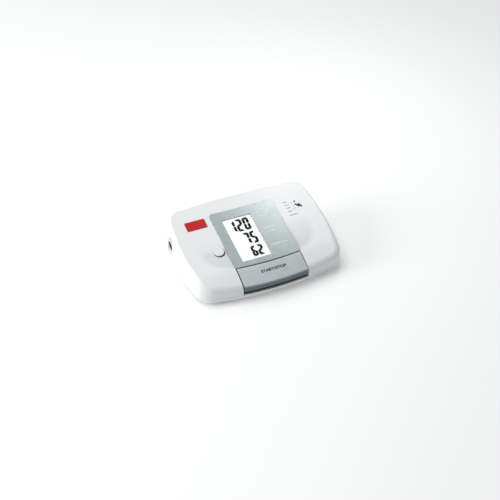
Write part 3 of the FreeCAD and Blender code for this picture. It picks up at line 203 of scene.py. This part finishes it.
# plain finishes
finishes = {
    "whiteHousing": {"color": (0.745, 0.755, 0.757), "shade": 0.975, "roughness": (0.27, 0.36), "grain": 0.0006,
                     "relief": 0.05, "patch": 0.03, "finish": {"Specular IOR Level": 0.5}},
    "redBadge": {"color": (0.5, 0.003, 0.008), "shade": 0.9, "roughness": (0.3, 0.4), "grain": 0.0003,
                 "relief": 0.04, "finish": {"Specular IOR Level": 0.3}},
    "ringGrey": {"color": (0.55, 0.57, 0.58), "shade": 0.93, "roughness": (0.35, 0.45), "grain": 0.0003,
                 "relief": 0.1},
    "socketBlack": {"color": (0.025, 0.026, 0.028), "shade": 0.8, "roughness": (0.35, 0.5), "grain": 0.0003,
                    "relief": 0.12},
    "footRubber": {"color": (0.09, 0.09, 0.092), "shade": 0.85, "roughness": (0.7, 0.9), "grain": 0.0002,
                   "relief": 0.3},
    "blackRubber": {"color": (0.03, 0.03, 0.03), "shade": 0.8, "roughness": (0.65, 0.85), "grain": 0.0002,
                    "relief": 0.3},
    "blackPlastic": {"color": (0.03, 0.03, 0.032), "shade": 0.85, "roughness": (0.4, 0.55), "grain": 0.00025,
                     "relief": 0.15},
    "whiteNylon": {"color": (0.74, 0.73, 0.69), "shade": 0.93, "roughness": (0.4, 0.5), "grain": 0.0004,
                   "relief": 0.12, "finish": {"Subsurface Weight": 0.1, "Subsurface Radius": (0.002, 0.002, 0.002)}},
    "pumpNylon": {"color": (0.62, 0.62, 0.58), "shade": 0.92, "roughness": (0.42, 0.55), "grain": 0.0003,
                  "relief": 0.15},
    "reflectorFilm": {"color": (0.85, 0.86, 0.84), "shade": 0.96, "roughness": (0.3, 0.4), "grain": 0.0002,
                      "relief": 0.1},
    "pinkZebra": {"color": (0.75, 0.32, 0.34), "shade": 0.85, "roughness": (0.5, 0.65), "grain": 0.0002,
                  "relief": 0.2, "fleck": 0.0004, "fleckColor": (0.5, 0.12, 0.13)},
    "tanCeramic": {"color": (0.5, 0.36, 0.2), "shade": 0.8, "roughness": (0.5, 0.65), "grain": 0.0002,
                   "relief": 0.2, "patch": 0.001},
    "wireCover": {"color": (0.45, 0.02, 0.02), "shade": 0.85, "roughness": (0.4, 0.5), "grain": 0.0004,
                  "relief": 0.1},
    "clearHose": {"color": (0.72, 0.73, 0.70), "shade": 0.95, "roughness": (0.3, 0.42), "grain": 0.0005,
                  "relief": 0.08, "finish": {"Subsurface Weight": 0.25, "Subsurface Radius": (0.003, 0.003, 0.003)}},
    "digitInk": {"color": (0.004, 0.004, 0.005), "shade": 0.8, "roughness": (0.6, 0.75), "grain": 0.0001,
                 "relief": 0.05, "finish": {"Specular IOR Level": 0.08}},
    "silverFilm": {"color": (0.62, 0.63, 0.64), "shade": 0.95, "roughness": (0.35, 0.5), "grain": 0.0004,
                   "relief": 0.08, "finish": {"Metallic": 0.3}},
    "floorPaper": {"color": (0.78, 0.78, 0.78), "shade": 0.995, "roughness": (0.75, 0.85), "grain": 0.0008,
                   "relief": 0.05, "patch": 0.3,
                   "finish": {"Emission Color": (1, 1, 1, 1), "Emission Strength": 0.15}},
}
inks = {"paleInk": (0.78, 0.80, 0.81), "darkInk": (0.015, 0.017, 0.02), "greyInk": (0.2, 0.21, 0.22),
        "paleMarkInk": (0.56, 0.57, 0.575)}
inkLook = {"shade": 0.9, "roughness": (0.45, 0.6), "grain": 0.00008, "relief": 0.1}
made = {name: moulded(name, look) for name, look in finishes.items()}
made.update({name: moulded(name, dict(inkLook, color=color)) for name, color in inks.items()})

# the top cover is painted a little greyer where the fields beside the panel are sunk into it: painted shade in the
# hollows
sunkFieldShade = {"top": (0, 0, 31.58 * mm), "reach": 60 * mm, "front": -32.9 * mm, "shallow": 0.05 * mm,
              "deep": 0.9 * mm, "edge": 0.4 * mm, "frontEdge": 1 * mm, "color": (0.64, 0.652, 0.66)}


def sunkFieldShadeShare(tree, where):    # 0 on the case's top, 1 where the fields are deepest: how much painted shade a point gets
    reach, front = sunkFieldShade["reach"], sunkFieldShade["front"]
    height = heightAlong(tree, where, slopeUp, sunkFieldShade["top"])
    depth = falling(tree, height, -sunkFieldShade["deep"], -sunkFieldShade["shallow"])
    aside = calculate(tree, "ABSOLUTE", heightAlong(tree, where, (1, 0, 0)))
    within = falling(tree, aside, reach, reach + sunkFieldShade["edge"])
    along = heightAlong(tree, where, slopeBack, sunkFieldShade["top"])
    behind = rising(tree, along, front, front + sunkFieldShade["frontEdge"])
    return calculate(tree, "MULTIPLY", depth, calculate(tree, "MULTIPLY", within, behind))


# the white top, with painted shade in its sunk fields
made["whiteTopPaintedShade"] = moulded("whiteTopPaintedShade", dict(finishes["whiteHousing"], deep=sunkFieldShadeShare,
                                            deepColor=sunkFieldShade["color"]))

# the panel and the bar: silver paint, with painted shade on the faces that turn away from up
panelPaint = {"color": (0.365, 0.405, 0.41), "shade": 0.95, "roughness": (0.29, 0.36), "grain": 0.00015,
              "relief": 0.02, "fleck": 0.00025, "fleckColor": (0.42, 0.46, 0.468), "finish": {"Metallic": 0.7},
              "up": slopeUp, "fade": (0.2, 0.7), "under": (0.09, 0.1, 0.105)}
barPaint = {"color": (0.61, 0.64, 0.66), "shade": 0.95, "roughness": (0.28, 0.36), "grain": 0.00015,
            "relief": 0.06, "fleck": 0.00025, "fleckColor": (0.69, 0.72, 0.74), "finish": {"Metallic": 0.55},
            "up": (0, 0, 1), "fade": (-0.03, 0.94), "under": (0.1, 0.126, 0.142),
            "skirt": (0, 0, 11 * mm), "skirtFade": (-0.3 * mm, 0.1 * mm), "skirtShadeColor": (0.012, 0.014, 0.016)}


def sprayed(name, look):    # silver paint, going to a dark painted shade on faces that turn away from up and to a near-black painted shade on the skirt below the bar
    material, tree, shader, where = startMaterial(name, look["finish"])
    silver = patched(tree, where, look["color"], darker(look["color"], look["shade"]))
    silver = flecked(tree, where, silver, look)
    # faces that turn away from up go to the under colour: painted shade, the bar's lip included
    paint = tint(tree, facing(tree, look["up"], *look["fade"]), look["under"], silver)
    # below the skirt height the bar goes near-black: painted shade for the slot under it
    if "skirt" in look:
        below = heightAlong(tree, where, (0, 0, -1), look["skirt"])
        paint = tint(tree, rising(tree, below, *look["skirtFade"]), paint, look["skirtShadeColor"])
    tree.links.new(paint, shader.inputs["Base Color"])
    smeared(tree, where, shader, look["roughness"])
    relief(tree, shader, cloud(tree, where, look["grain"]), look["relief"])
    return material


made["silverPanel"] = sprayed("silverPanel", panelPaint)
made["silverKey"] = sprayed("silverKey", barPaint)

# foot is the near-black painted shade on the button's lower part, in the gap round it
buttonLook = {"cap": (0.75, 0.757, 0.765), "capShade": (0.73, 0.737, 0.745), "foot": (0.03, 0.032, 0.034),
              "shadeBelowCapTop": 1.7 * mm, "shadeEdge": 0.05 * mm, "roughness": (0.18, 0.26), "grain": 0.0008,
              "relief": 0.04, "finish": {"Coat Weight": 0.3, "Coat Roughness": 0.08}}


def buttonWithPaintedGapShade(look):    # white cap, painted near-black from a given depth below the top of the cap down: painted shade in the gap round the button
    material, tree, shader, where = startMaterial("whiteButton", look["finish"])
    low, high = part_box("memory_key")
    crown = ((low.x + high.x) / 2, (low.y + high.y) / 2, high.z)
    height = heightAlong(tree, where, slopeUp, crown)
    onCap = rising(tree, height, -look["shadeBelowCapTop"] - look["shadeEdge"], -look["shadeBelowCapTop"])
    white = patched(tree, where, look["cap"], look["capShade"])
    tree.links.new(tint(tree, onCap, look["foot"], white), shader.inputs["Base Color"])
    smeared(tree, where, shader, look["roughness"])
    relief(tree, shader, cloud(tree, where, look["grain"]), look["relief"])
    return material


made["whiteButton"] = buttonWithPaintedGapShade(buttonLook)

metals = {    # colour, roughness, how its scratches are squeezed
    "springSteel": ((0.62, 0.62, 0.62), (0.18, 0.3), (1, 1, 1)),
    "screwSteel": ((0.58, 0.58, 0.56), (0.25, 0.42), (1, 1, 0.3)),
    "motorSteel": ((0.66, 0.66, 0.64), (0.22, 0.36), (0.08, 1, 1)),
    "contactNickel": ((0.72, 0.69, 0.62), (0.2, 0.34), (1, 0.2, 1)),
    "turnedBrass": ((0.78, 0.57, 0.25), (0.2, 0.34), (0.2, 1, 1)),
}
metalWear = {"tarnish": 0.85, "patch": 0.004, "scratch": 0.00025, "detail": 5.0, "relief": 0.12, "depth": 0.00003}


def drawnMetal(name, color, roughness, stretch):
    material, tree, shader, where = startMaterial(name, {"Metallic": 1.0})
    paint = patched(tree, where, color, darker(color, metalWear["tarnish"]), metalWear["patch"])
    tree.links.new(paint, shader.inputs["Base Color"])
    scratches = cloud(tree, where, metalWear["scratch"], stretch, metalWear["detail"])
    tree.links.new(spread(tree, scratches, *roughness), shader.inputs["Roughness"])
    relief(tree, shader, scratches, metalWear["relief"], metalWear["depth"])
    return material


made.update({name: drawnMetal(name, *look) for name, look in metals.items()})

coilLook = {"dark": (0.32, 0.1, 0.03), "bright": (0.72, 0.3, 0.11), "pitch": 0.3 * mm, "waver": 0.4, "relief": 0.6,
            "depth": 0.0001, "finish": {"Metallic": 0.9, "Roughness": 0.28}}


def woundCopper(look):
    material, tree, shader, where = startMaterial("woundCopper", look["finish"])
    turns = bands(tree, where, look["pitch"], waver=look["waver"])
    tree.links.new(tint(tree, turns, look["dark"], look["bright"]), shader.inputs["Base Color"])
    relief(tree, shader, turns, look["relief"], look["depth"])
    return material


made["woundCopper"] = woundCopper(coilLook)

boardLook = {"green": (0.010, 0.105, 0.038), "shade": 0.85, "patch": 0.008, "track": (0.022, 0.185, 0.062),
             "lanes": 1.3 * mm, "rows": 1.7 * mm, "trackEdge": (0.74, 0.8),
             "area": 0.011, "areaEdge": (0.495, 0.505), "filled": 0.016, "filledEdge": (0.52, 0.53),
             "roughness": (0.25, 0.4), "smear": 0.002, "relief": 0.3, "depth": 0.00004,
             "finish": {"Coat Weight": 0.3, "Coat Roughness": 0.15}}


def circuitLaminate(look):    # copper runs lengthwise in some areas, across in the others, and fills a few
    material, tree, shader, where = startMaterial("circuitLaminate", look["finish"])
    lanes = bands(tree, where, look["lanes"], "X")
    rows = bands(tree, where, look["rows"], "Y")
    areas = rising(tree, cloud(tree, where, look["area"], detail=0.0), *look["areaEdge"])
    filled = rising(tree, cloud(tree, where, look["filled"], detail=1.0), *look["filledEdge"])
    runs = calculate(tree, "ADD", calculate(tree, "MULTIPLY", areas, lanes),
                     calculate(tree, "MULTIPLY", calculate(tree, "SUBTRACT", 1.0, areas), rows))
    copper = calculate(tree, "MAXIMUM", rising(tree, runs, *look["trackEdge"]), filled)
    mask = patched(tree, where, look["green"], darker(look["green"], look["shade"]), look["patch"])
    tree.links.new(tint(tree, copper, mask, look["track"]), shader.inputs["Base Color"])
    smeared(tree, where, shader, look["roughness"], look["smear"])
    relief(tree, shader, copper, look["relief"], look["depth"])
    return material


made["circuitLaminate"] = circuitLaminate(boardLook)

cellLook = {"sleeve": (0.035, 0.04, 0.05), "colouredEnd": (0.62, 0.34, 0.08), "metal": (0.66, 0.64, 0.6),
            "colouredFrom": 12 * mm, "metalFrom": 24 * mm, "roughness": (0.22, 0.34), "smear": 0.003,
            "grain": 0.0006, "relief": 0.08, "cells": 4}


def cellSleeve(look):    # printed sleeve with a coloured end, turned round on every other cell; bare metal at both tips
    material, tree, shader, where = startMaterial("cellSleeve", {})
    low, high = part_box("battery_cells")
    pitch = (high.x - low.x) / look["cells"]
    firstCell = low.x + pitch / 2
    row = calculate(tree, "DIVIDE", heightAlong(tree, where, (1, 0, 0), (firstCell, 0, 0)), pitch)
    side = calculate(tree, "SIGN", calculate(tree, "COSINE", calculate(tree, "MULTIPLY", row, math.pi)))
    reach = heightAlong(tree, where, (0, 1, 0), (0, (low.y + high.y) / 2, 0))
    coloured = calculate(tree, "GREATER_THAN", calculate(tree, "MULTIPLY", reach, side), look["colouredFrom"])
    tips = calculate(tree, "GREATER_THAN", calculate(tree, "ABSOLUTE", reach), look["metalFrom"])
    sleeve = tint(tree, coloured, look["sleeve"], look["colouredEnd"])
    tree.links.new(tint(tree, tips, sleeve, look["metal"]), shader.inputs["Base Color"])
    tree.links.new(tips, shader.inputs["Metallic"])
    smeared(tree, where, shader, look["roughness"], look["smear"])
    relief(tree, shader, cloud(tree, where, look["grain"]), look["relief"])
    return material


made["cellSleeve"] = cellSleeve(cellLook)

paneLook = {"through": (0.985, 0.99, 0.99, 1), "mirror": (1, 1, 1, 1), "ior": 1.3, "roughness": (0.03, 0.07),
            "smear": 0.004, "frontEdge": (-0.3 * mm, -0.2 * mm)}


def clearPane(look):    # lamps reach the display through it, and only its front mirrors the room
    material, tree, where, surface = emptyMaterial("clearPane")
    through = addNode(tree, "ShaderNodeBsdfTransparent", {"Color": look["through"]})
    mirror = addNode(tree, "ShaderNodeBsdfGlossy", {"Color": look["mirror"]})
    smeared(tree, where, mirror, look["roughness"], look["smear"])
    fresnel = addNode(tree, "ShaderNodeFresnel", {"IOR": look["ior"]})
    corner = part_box("lcd_window")[1]
    front = rising(tree, heightAlong(tree, where, slopeUp, (0, corner.y, corner.z)), *look["frontEdge"])
    mixed = addNode(tree, "ShaderNodeMixShader")
    tree.links.new(calculate(tree, "MULTIPLY", fresnel.outputs["Fac"], front), mixed.inputs[0])
    tree.links.new(through.outputs["BSDF"], mixed.inputs[1])
    tree.links.new(mirror.outputs["BSDF"], mixed.inputs[2])
    tree.links.new(mixed.outputs["Shader"], surface)
    return material


made["clearPane"] = clearPane(paneLook)

# its emission is painted light, a glow that lifts the pale glass, which has no lamp behind it
displayLook = {"pale": (0.93, 0.94, 0.93), "shade": (0.90, 0.915, 0.90), "patch": 0.01, "sparkle": 0.00012,
               "roughness": (0.3, 0.42), "relief": 0.05, "depth": 0.00002,
               "finish": {"Emission Color": (1, 1, 1, 1), "Emission Strength": 0.3}}


def displayFace(look):    # pale liquid-crystal glass over its reflector, with the fine grain of the diffuser and a faint painted glow
    material, tree, shader, where = startMaterial("displayFace", look["finish"])
    tree.links.new(patched(tree, where, look["pale"], look["shade"], look["patch"]), shader.inputs["Base Color"])
    sparkle = cloud(tree, where, look["sparkle"], detail=1.0)
    tree.links.new(spread(tree, sparkle, *look["roughness"]), shader.inputs["Roughness"])
    relief(tree, shader, sparkle, look["relief"], look["depth"])
    return material


made["displayFace"] = displayFace(displayLook)

wearing = {
    "whiteHousing": ["bottom_cover", "battery_door"],
    "whiteTopPaintedShade": ["top_cover"],
    "whiteButton": ["memory_key"],
    "silverPanel": ["panel_bezel"],
    "silverKey": ["start_key"],
    "redBadge": ["badge_plate"],
    "clearPane": ["lcd_window"],
    "displayFace": ["lcd_glass"],
    "reflectorFilm": ["lcd_reflector"],
    "whiteNylon": ["lcd_frame", "wire_header", "valve_nozzle"],
    "pinkZebra": ["zebra_strip"],
    "circuitLaminate": ["main_board", "key_board"],
    "blackPlastic": ["start_switch", "memory_switch", "microcontroller", "memory_chip", "motor_driver", "capacitors",
                     "buzzer", "pressure_sensor", "dc_jack"],
    "socketBlack": ["air_socket"],
    "ringGrey": ["socket_ring", "start_switch_plunger", "memory_switch_plunger"],
    "footRubber": ["rubber_feet"],
    "blackRubber": ["pump_diaphragm", "pump_sleeves", "socket_seal"],
    "tanCeramic": ["small_parts"],
    "pumpNylon": ["pump_head", "pump_cap", "air_manifold"],
    "motorSteel": ["pump_motor", "pump_rotor", "valve_yoke", "valve_plunger", "crystal"],
    "turnedBrass": ["dc_jack_pin", "motor_terminals"],
    "contactNickel": ["battery_contacts"],
    "springSteel": ["key_springs", "battery_springs", "valve_spring"],
    "screwSteel": ["housing_screws", "board_screws", "pump_screws"],
    "woundCopper": ["valve_coil"],
    "cellSleeve": ["battery_cells"],
    "clearHose": ["pump_hose", "socket_hose", "valve_hose", "sensor_hose"],
    "wireCover": ["wires"],
}
for finish, wearers in wearing.items():
    for name in wearers:
        nodes[name].data.materials.clear()
        nodes[name].data.materials.append(made[finish])
bare = sorted(set(nodes) - {name for wearers in wearing.values() for name in wearers})
print("finishes made:", len(made), "nodes left bare:", bare)

# how new pieces are shaped
weldDistance = 0.000002
rayStart = {"above": 0.2, "below": -0.1}    # outside the case, metres up
cornerSteps = 4
letterShape = {"size": 0.01, "extrude": 0.0005, "steps": 3}    # before it is fitted to its real size


def takeNew(name):    # the object that an operator has just added
    piece = bpy.context.object
    piece.name = name
    piece.data.name = name
    return piece


def deselect():
    bpy.ops.object.select_all(action="DESELECT")


def enterEdit(piece):
    deselect()
    piece.select_set(True)
    bpy.context.view_layer.objects.active = piece
    bpy.ops.object.mode_set(mode="EDIT")


def leaveEdit():
    bpy.ops.object.mode_set(mode="OBJECT")


def clearPicks(piece, selectMode):    # vertices, edges, faces
    enterEdit(piece)
    bpy.context.tool_settings.mesh_select_mode = selectMode
    bpy.ops.mesh.select_all(action="DESELECT")
    leaveEdit()


def pickFaces(piece, wanted):    # leaves the piece in edit mode with only the wanted faces selected
    clearPicks(piece, (False, False, True))
    for face in piece.data.polygons:
        face.select = wanted(face)
    bpy.ops.object.mode_set(mode="EDIT")


def pickEdges(piece, wanted):    # the same for edges, by the places of their ends
    clearPicks(piece, (False, True, False))
    spots = piece.data.vertices
    for edge in piece.data.edges:
        edge.select = wanted(spots[edge.vertices[0]].co, spots[edge.vertices[1]].co)
    bpy.ops.object.mode_set(mode="EDIT")


def sealed(piece):    # closes the doubled edges that an operator leaves, and turns the faces outwards
    enterEdit(piece)
    bpy.ops.mesh.select_all(action="SELECT")
    bpy.ops.mesh.remove_doubles(threshold=weldDistance)
    bpy.ops.mesh.normals_make_consistent(inside=False)
    leaveEdit()
    return piece


def copied(piece, matrix):
    twin = piece.copy()
    twin.data = piece.data.copy()
    twin.data.transform(matrix)
    bpy.context.scene.collection.objects.link(twin)
    return twin


def joinedAs(name, pieces):
    deselect()
    for piece in pieces:
        piece.select_set(True)
    bpy.context.view_layer.objects.active = pieces[0]
    if len(pieces) > 1:
        bpy.ops.object.join()
    return takeNew(name)


def finished(piece, finish, body="base"):
    piece.data.materials.clear()
    piece.data.materials.append(made[finish])
    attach(piece, body)
    return piece


def shifted(x, y, z=0.0):    # millimetres
    return Matrix.Translation((x * mm, y * mm, z * mm))


def faceOf(name, across, along, fromBelow=False):    # a place on a CAD node, as a matrix with its Z out of the surface
    start = Vector((across * mm, along * mm, rayStart["below" if fromBelow else "above"]))
    spot, normal = nodes[name].ray_cast(start, Vector((0, 0, 1 if fromBelow else -1)))[1:3]
    up = normal.cross(Vector((1, 0, 0))).normalized()
    right = up.cross(normal)
    return Matrix((
        (right.x, up.x, normal.x, spot.x),
        (right.y, up.y, normal.y, spot.y),
        (right.z, up.z, normal.z, spot.z),
        (0, 0, 0, 1),
    ))


def planeOf(name, across, along):    # the sloping plane found at that place, with its origin over the case's
    return faceOf(name, across, along) @ shifted(-across, -along / math.cos(slope))


def plate(name, width, length, thick, corner):    # a flat rounded plate that lies on Z = 0, millimetres
    bpy.ops.mesh.primitive_cube_add(size=1)
    piece = takeNew(name)
    piece.data.transform(shifted(0, 0, thick / 2) @ Matrix.Diagonal((width * mm, length * mm, thick * mm, 1)))
    pickEdges(piece, lambda a, b: abs(a.x - b.x) + abs(a.y - b.y) < weldDistance)    # the upright ones
    bpy.ops.mesh.bevel(offset=corner * mm, segments=cornerSteps)
    leaveEdit()
    return piece


def lettering(name, words, height, width, thick, weight):    # centred on the origin, millimetres
    deselect()
    bpy.ops.object.text_add()
    text = takeNew(name)
    text.data.body = words
    text.data.size = letterShape["size"]
    text.data.extrude = letterShape["extrude"]
    text.data.offset = weight
    text.data.resolution_u = letterShape["steps"]
    bpy.ops.object.convert(target="MESH")
    piece = takeNew(name)
    spots = [v.co for v in piece.data.vertices]
    low = [min(s[i] for s in spots) for i in range(3)]
    high = [max(s[i] for s in spots) for i in range(3)]
    sizes = (width * mm, height * mm, thick * mm)
    scales = [sizes[i] / (high[i] - low[i]) for i in range(3)]
    middle = [(high[i] + low[i]) / 2 for i in range(2)] + [low[2]]
    piece.data.transform(Matrix.Diagonal((*scales, 1)) @ Matrix.Translation([-m for m in middle]))
    return sealed(piece)


# the digits of the display, millimetres on the glass
displayDigits = {
    "rows": (    # what it says, right end, foot, height, width, pitch, stroke
        ("120", 1.2, 9.0, 15.4, 6.4, 7.4, 2.55),
        ("75", 1.4, -8.6, 14.8, 6.2, 7.0, 2.6),
        ("62", 1.2, -23.8, 12.6, 5.6, 6.3, 2.45),
    ),
    "lean": 2.2, "gap": 0.38, "mitre": 0.08, "thick": 0.05, "above": 0.02,
    "tip": 0.35,    # how much of a stroke's width is left at its end faces
}
strokesOf = {"0": "abcdef", "1": "bc", "2": "abged", "5": "afgcd", "6": "afgedc", "7": "abc"}


def stroke(first, last, width):    # one bar of a digit along X; an end is its place and its tip's side
    tip, thick = displayDigits["tip"], displayDigits["thick"]
    reach = [width * (1 - tip) * (1 if side else 0.5) for side in (first[1], last[1])]
    low, high = first[0] + reach[0], last[0] - reach[1]
    bpy.ops.mesh.primitive_cube_add(size=1)
    bar = takeNew("stroke")
    bar.data.transform(shifted((low + high) / 2, 0) @ Matrix.Diagonal(((high - low) * mm, width * mm, thick * mm, 1)))
    for way, side, long in ((-1, first[1], reach[0]), (1, last[1], reach[1])):
        pickFaces(bar, lambda face: face.normal.x * way > 0.9)    # the end face on that side
        step = (way * long * mm, side * width * (1 - tip) / 2 * mm, 0)
        bpy.ops.mesh.extrude_region_move(TRANSFORM_OT_translate={"value": step})
        bpy.ops.transform.resize(value=(1, tip, 1))
        leaveEdit()
    return bar


def digitsRow(words, end, foot, height, width, pitch, thickness):
    look = displayDigits
    half = (height - thickness) / 2
    across = (width - thickness) / 2
    corner, middle = thickness * (0.5 - look["tip"]) - look["mitre"], look["gap"] / 2
    flat = across + corner
    lying = stroke((-flat, 1), (flat, 1), thickness)
    central = stroke((middle - across, 0), (across - middle, 0), thickness)
    upright = stroke((middle, 0), (half + corner, -1), thickness)    # its outer side looks right
    toLeft, toFoot = Matrix.Diagonal((-1, 1, 1, 1)), Matrix.Diagonal((1, -1, 1, 1))
    right = shifted(across, 0) @ Matrix.Rotation(math.pi / 2, 4, "Z")
    places = {
        "a": (lying, shifted(0, 2 * half)), "g": (central, shifted(0, half)), "d": (lying, toFoot),
        "b": (upright, shifted(0, half) @ right), "c": (upright, shifted(0, half) @ toFoot @ right),
        "f": (upright, shifted(0, half) @ toLeft @ right), "e": (upright, shifted(0, half) @ toLeft @ toFoot @ right),
    }
    lean = Matrix.Identity(4)
    lean[0][1] = math.tan(math.radians(look["lean"]))
    bars = []
    for place, digit in enumerate(reversed(words)):
        centre = end - width / 2 - place * pitch
        for letter in strokesOf[digit]:
            bar, spot = places[letter]
            bars.append(copied(bar, shifted(centre, foot + thickness / 2) @ lean @ spot))
    for bar in (lying, central, upright):
        bpy.data.objects.remove(bar)
    return bars


bars = [bar for row in displayDigits["rows"] for bar in digitsRow(*row)]
digits = sealed(joinedAs("lcd_digits", bars))
digits.data.transform(faceOf("lcd_glass", 0, 0) @ shifted(0, 0, displayDigits["above"] + displayDigits["thick"] / 2))
finished(digits, "digitInk")
print("digits on the display")

# what is printed on the panel and the bar, millimetres
legends = {    # words, middle across, middle along, width, height
    "panel": (("SYSTOLIC", 18.6, 25.2, 13.6, 1.9), ("mmHg", 16.4, 19.9, 8.2, 1.9),
              ("DIASTOLIC", 18.3, 4.6, 15.0, 1.9), ("mmHg", 16.0, -0.8, 8.2, 1.9),
              ("PULSE /min", 18.4, -16.8, 17.0, 1.9)),
    "panelBareSpot": (30, 0),    # where no piece covers the panel
    "bar": ("START/STOP", 1.3, -41.6, 26.0, 3.1),
    "thick": 0.02, "barWeight": 0.00045, "panelWeight": 0.0001,
}
panelFace = planeOf("panel_bezel", *legends["panelBareSpot"])
words = []
for text, across, along, width, height in legends["panel"]:
    word = lettering("legend", text, height, width, legends["thick"], legends["panelWeight"])
    word.data.transform(panelFace @ shifted(across, along))
    words.append(word)
finished(joinedAs("panel_legends", words), "paleInk")
text, across, along, width, height = legends["bar"]
label = lettering("start_key_lettering", text, height, width, legends["thick"], legends["barWeight"])
label.data.transform(faceOf("start_key", across, along))
finished(label, "darkInk", "start_key")

# what is printed on the case, millimetres: strips are middle across, middle along, length, width, turn in degrees
caseMarks = {
    "lines": ((44.75, 28.4, 4.4, 0.85, 0), (45.1, 24.3, 5.4, 0.65, 0), (45.2, 20.5, 4.4, 0.85, 0),
              (44.8, 16.0, 4.2, 0.8, 0), (46.7, 11.1, 8.8, 0.75, 0),
              (50.9, 25.9, 2.6, 0.45, -42), (51.9, 22.0, 3.4, 0.45, 12), (50.3, 18.0, 3.6, 0.45, 22)),
    "dark": ((54.4, 26.7, 2.4, 1.4, 50), (55.1, 21.3, 5.4, 1.9, -60), (57.8, 20.6, 5.0, 2.3, -64)),
    "ring": (-50.6, -9.8, 2.0, 0.3),    # across, along, radius, half width of its line
    "ringSegments": 48, "ringSides": 4, "thick": 0.02, "corner": 0.12, "cornerShare": 0.3,
    "topBareSpot": (45, 20),    # where the case's top is flat
}
caseTop = planeOf("top_cover", *caseMarks["topBareSpot"])


def marksOf(name, rows, finish):
    strips = []
    for across, along, length, width, turn in rows:
        corner = min(caseMarks["corner"], width * caseMarks["cornerShare"])
        strip = plate("strip", length, width, caseMarks["thick"], corner)
        turned = Matrix.Rotation(math.radians(turn), 4, "Z")
        strip.data.transform(caseTop @ shifted(across, along) @ turned)
        strips.append(strip)
    return finished(joinedAs(name, strips), finish)


marksOf("case_marks", caseMarks["lines"], "greyInk")
marksOf("case_marks_dark", caseMarks["dark"], "darkInk")
across, along, radius, half = caseMarks["ring"]
deselect()
bpy.ops.mesh.primitive_torus_add(major_radius=radius * mm, minor_radius=half * mm,
                                 major_segments=caseMarks["ringSegments"], minor_segments=caseMarks["ringSides"])
ring = takeNew("memory_mark")
ring.data.transform(Matrix.Diagonal((1, 1, caseMarks["thick"] / half, 1)))
ring.data.transform(faceOf("top_cover", across, along * math.cos(slope)))
finished(ring, "paleMarkInk")
print("print on the panel, bar and case")

# blank film in the shallow field under the case, millimetres
ratingFilm = {"middle": (34.55, 1.0), "size": (51.5, 44.5), "thick": 0.18, "corner": 1.6}
film = plate("rating_film", *ratingFilm["size"], ratingFilm["thick"], ratingFilm["corner"])
film.data.transform(faceOf("bottom_cover", *ratingFilm["middle"], fromBelow=True))
finished(film, "silverFilm")
print("rating film laid")

# the springs that the bar and the valve press together
pressedSprings = {    # wire: its radius in millimetres; sides: where coils stand in the node's box, -1 left to 1 right
    "key_return_springs": {"node": "key_springs", "joint": "start_key_press", "axis": (0, 0, 1), "sides": (-1, 1),
                           "wire": 0.22, "turns": 4.5},
    "valve_return_spring": {"node": "valve_spring", "joint": "valve_pull", "axis": (1, 0, 0), "sides": (0,),
                            "wire": 0.25, "turns": 3},
}
coilDetail = {"wireSides": 12, "stepsPerTurn": 28}


def coilSpring(name, length, radius, wire, turns):    # from the origin along Z, metres
    deselect()
    bpy.ops.mesh.primitive_circle_add(vertices=coilDetail["wireSides"], radius=wire, location=(radius, 0, 0),
                                      rotation=(math.pi / 2, 0, 0))
    piece = takeNew(name)
    bpy.ops.object.transform_apply(location=True, rotation=True, scale=False)
    twist = piece.modifiers.new("turns", "SCREW")
    twist.axis = "Z"
    twist.angle = math.tau * turns
    twist.screw_offset = length
    twist.steps = twist.render_steps = round(turns * coilDetail["stepsPerTurn"])
    bpy.ops.object.modifier_apply(modifier="turns")
    enterEdit(piece)
    bpy.ops.mesh.select_all(action="SELECT")
    bpy.ops.mesh.fill_holes(sides=coilDetail["wireSides"])
    bpy.ops.mesh.normals_make_consistent(inside=False)
    leaveEdit()
    bpy.ops.object.shade_smooth()
    return piece


for name, look in pressedSprings.items():
    low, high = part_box(look["node"])
    axis = Vector(look["axis"])
    wire, outer = look["wire"] * mm, (high.y - low.y) / 2
    length = axis.dot(high - low)
    firstTurn = (low + high) / 2 - axis * (length / 2 - wire)
    turned = Vector((0, 0, 1)).rotation_difference(axis).to_matrix().to_4x4()
    aside = Vector(((high.x - low.x) / 2 - outer, 0, 0))
    coil = coilSpring("spring", length - 2 * wire, outer - wire, wire, look["turns"])
    coils = [copied(coil, Matrix.Translation(firstTurn + aside * side) @ turned) for side in look["sides"]]
    bpy.data.objects.remove(coil)
    springs = finished(joinedAs(name, coils), "springSteel")
    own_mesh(springs)
    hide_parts(look["node"])
print("springs under the bar and on the valve")

# light and floor
studio = {
    "room": 0.37, "roomColor": (0.95, 0.985, 1.0, 1),
    "boxes": (    # name, place, aim, size, watts
        ("overheadBox", (-0.6, 0.45, 2.2), (0, 0, 0.03), (1.5, 1.5), 27.5),
        ("leftBox", (-1.0, 0.15, 0.42), (0, 0, 0.02), (0.6, 0.5), 7.5),
        ("panelBox", (0.215, 0.25, 0.36), (0.03, 0.03, 0.03), (0.13, 0.13), 0.36),
    ),
    "floorSize": 6,
}
world = bpy.data.worlds.new("studio")
bpy.context.scene.world = world
world.use_nodes = True
world.node_tree.nodes["Background"].inputs["Color"].default_value = studio["roomColor"]
world.node_tree.nodes["Background"].inputs["Strength"].default_value = studio["room"]
for name, place, aim, size, watts in studio["boxes"]:
    lamp = bpy.data.lights.new(name, "AREA")
    lamp.shape = "RECTANGLE"
    lamp.size, lamp.size_y = size
    lamp.energy = watts
    holder = bpy.data.objects.new(name, lamp)
    holder.location = place
    holder.rotation_euler = (Vector(aim) - Vector(place)).to_track_quat("-Z", "Y").to_euler()
    holder.visible_camera = False
    bpy.context.scene.collection.objects.link(holder)
deselect()
bpy.ops.mesh.primitive_plane_add(size=studio["floorSize"], location=(0, 0, 0))
floor = takeNew("studioFloor")
floor.data.materials.append(made["floorPaper"])
bpy.context.scene.view_settings.view_transform = "Standard"
print("studio ready")
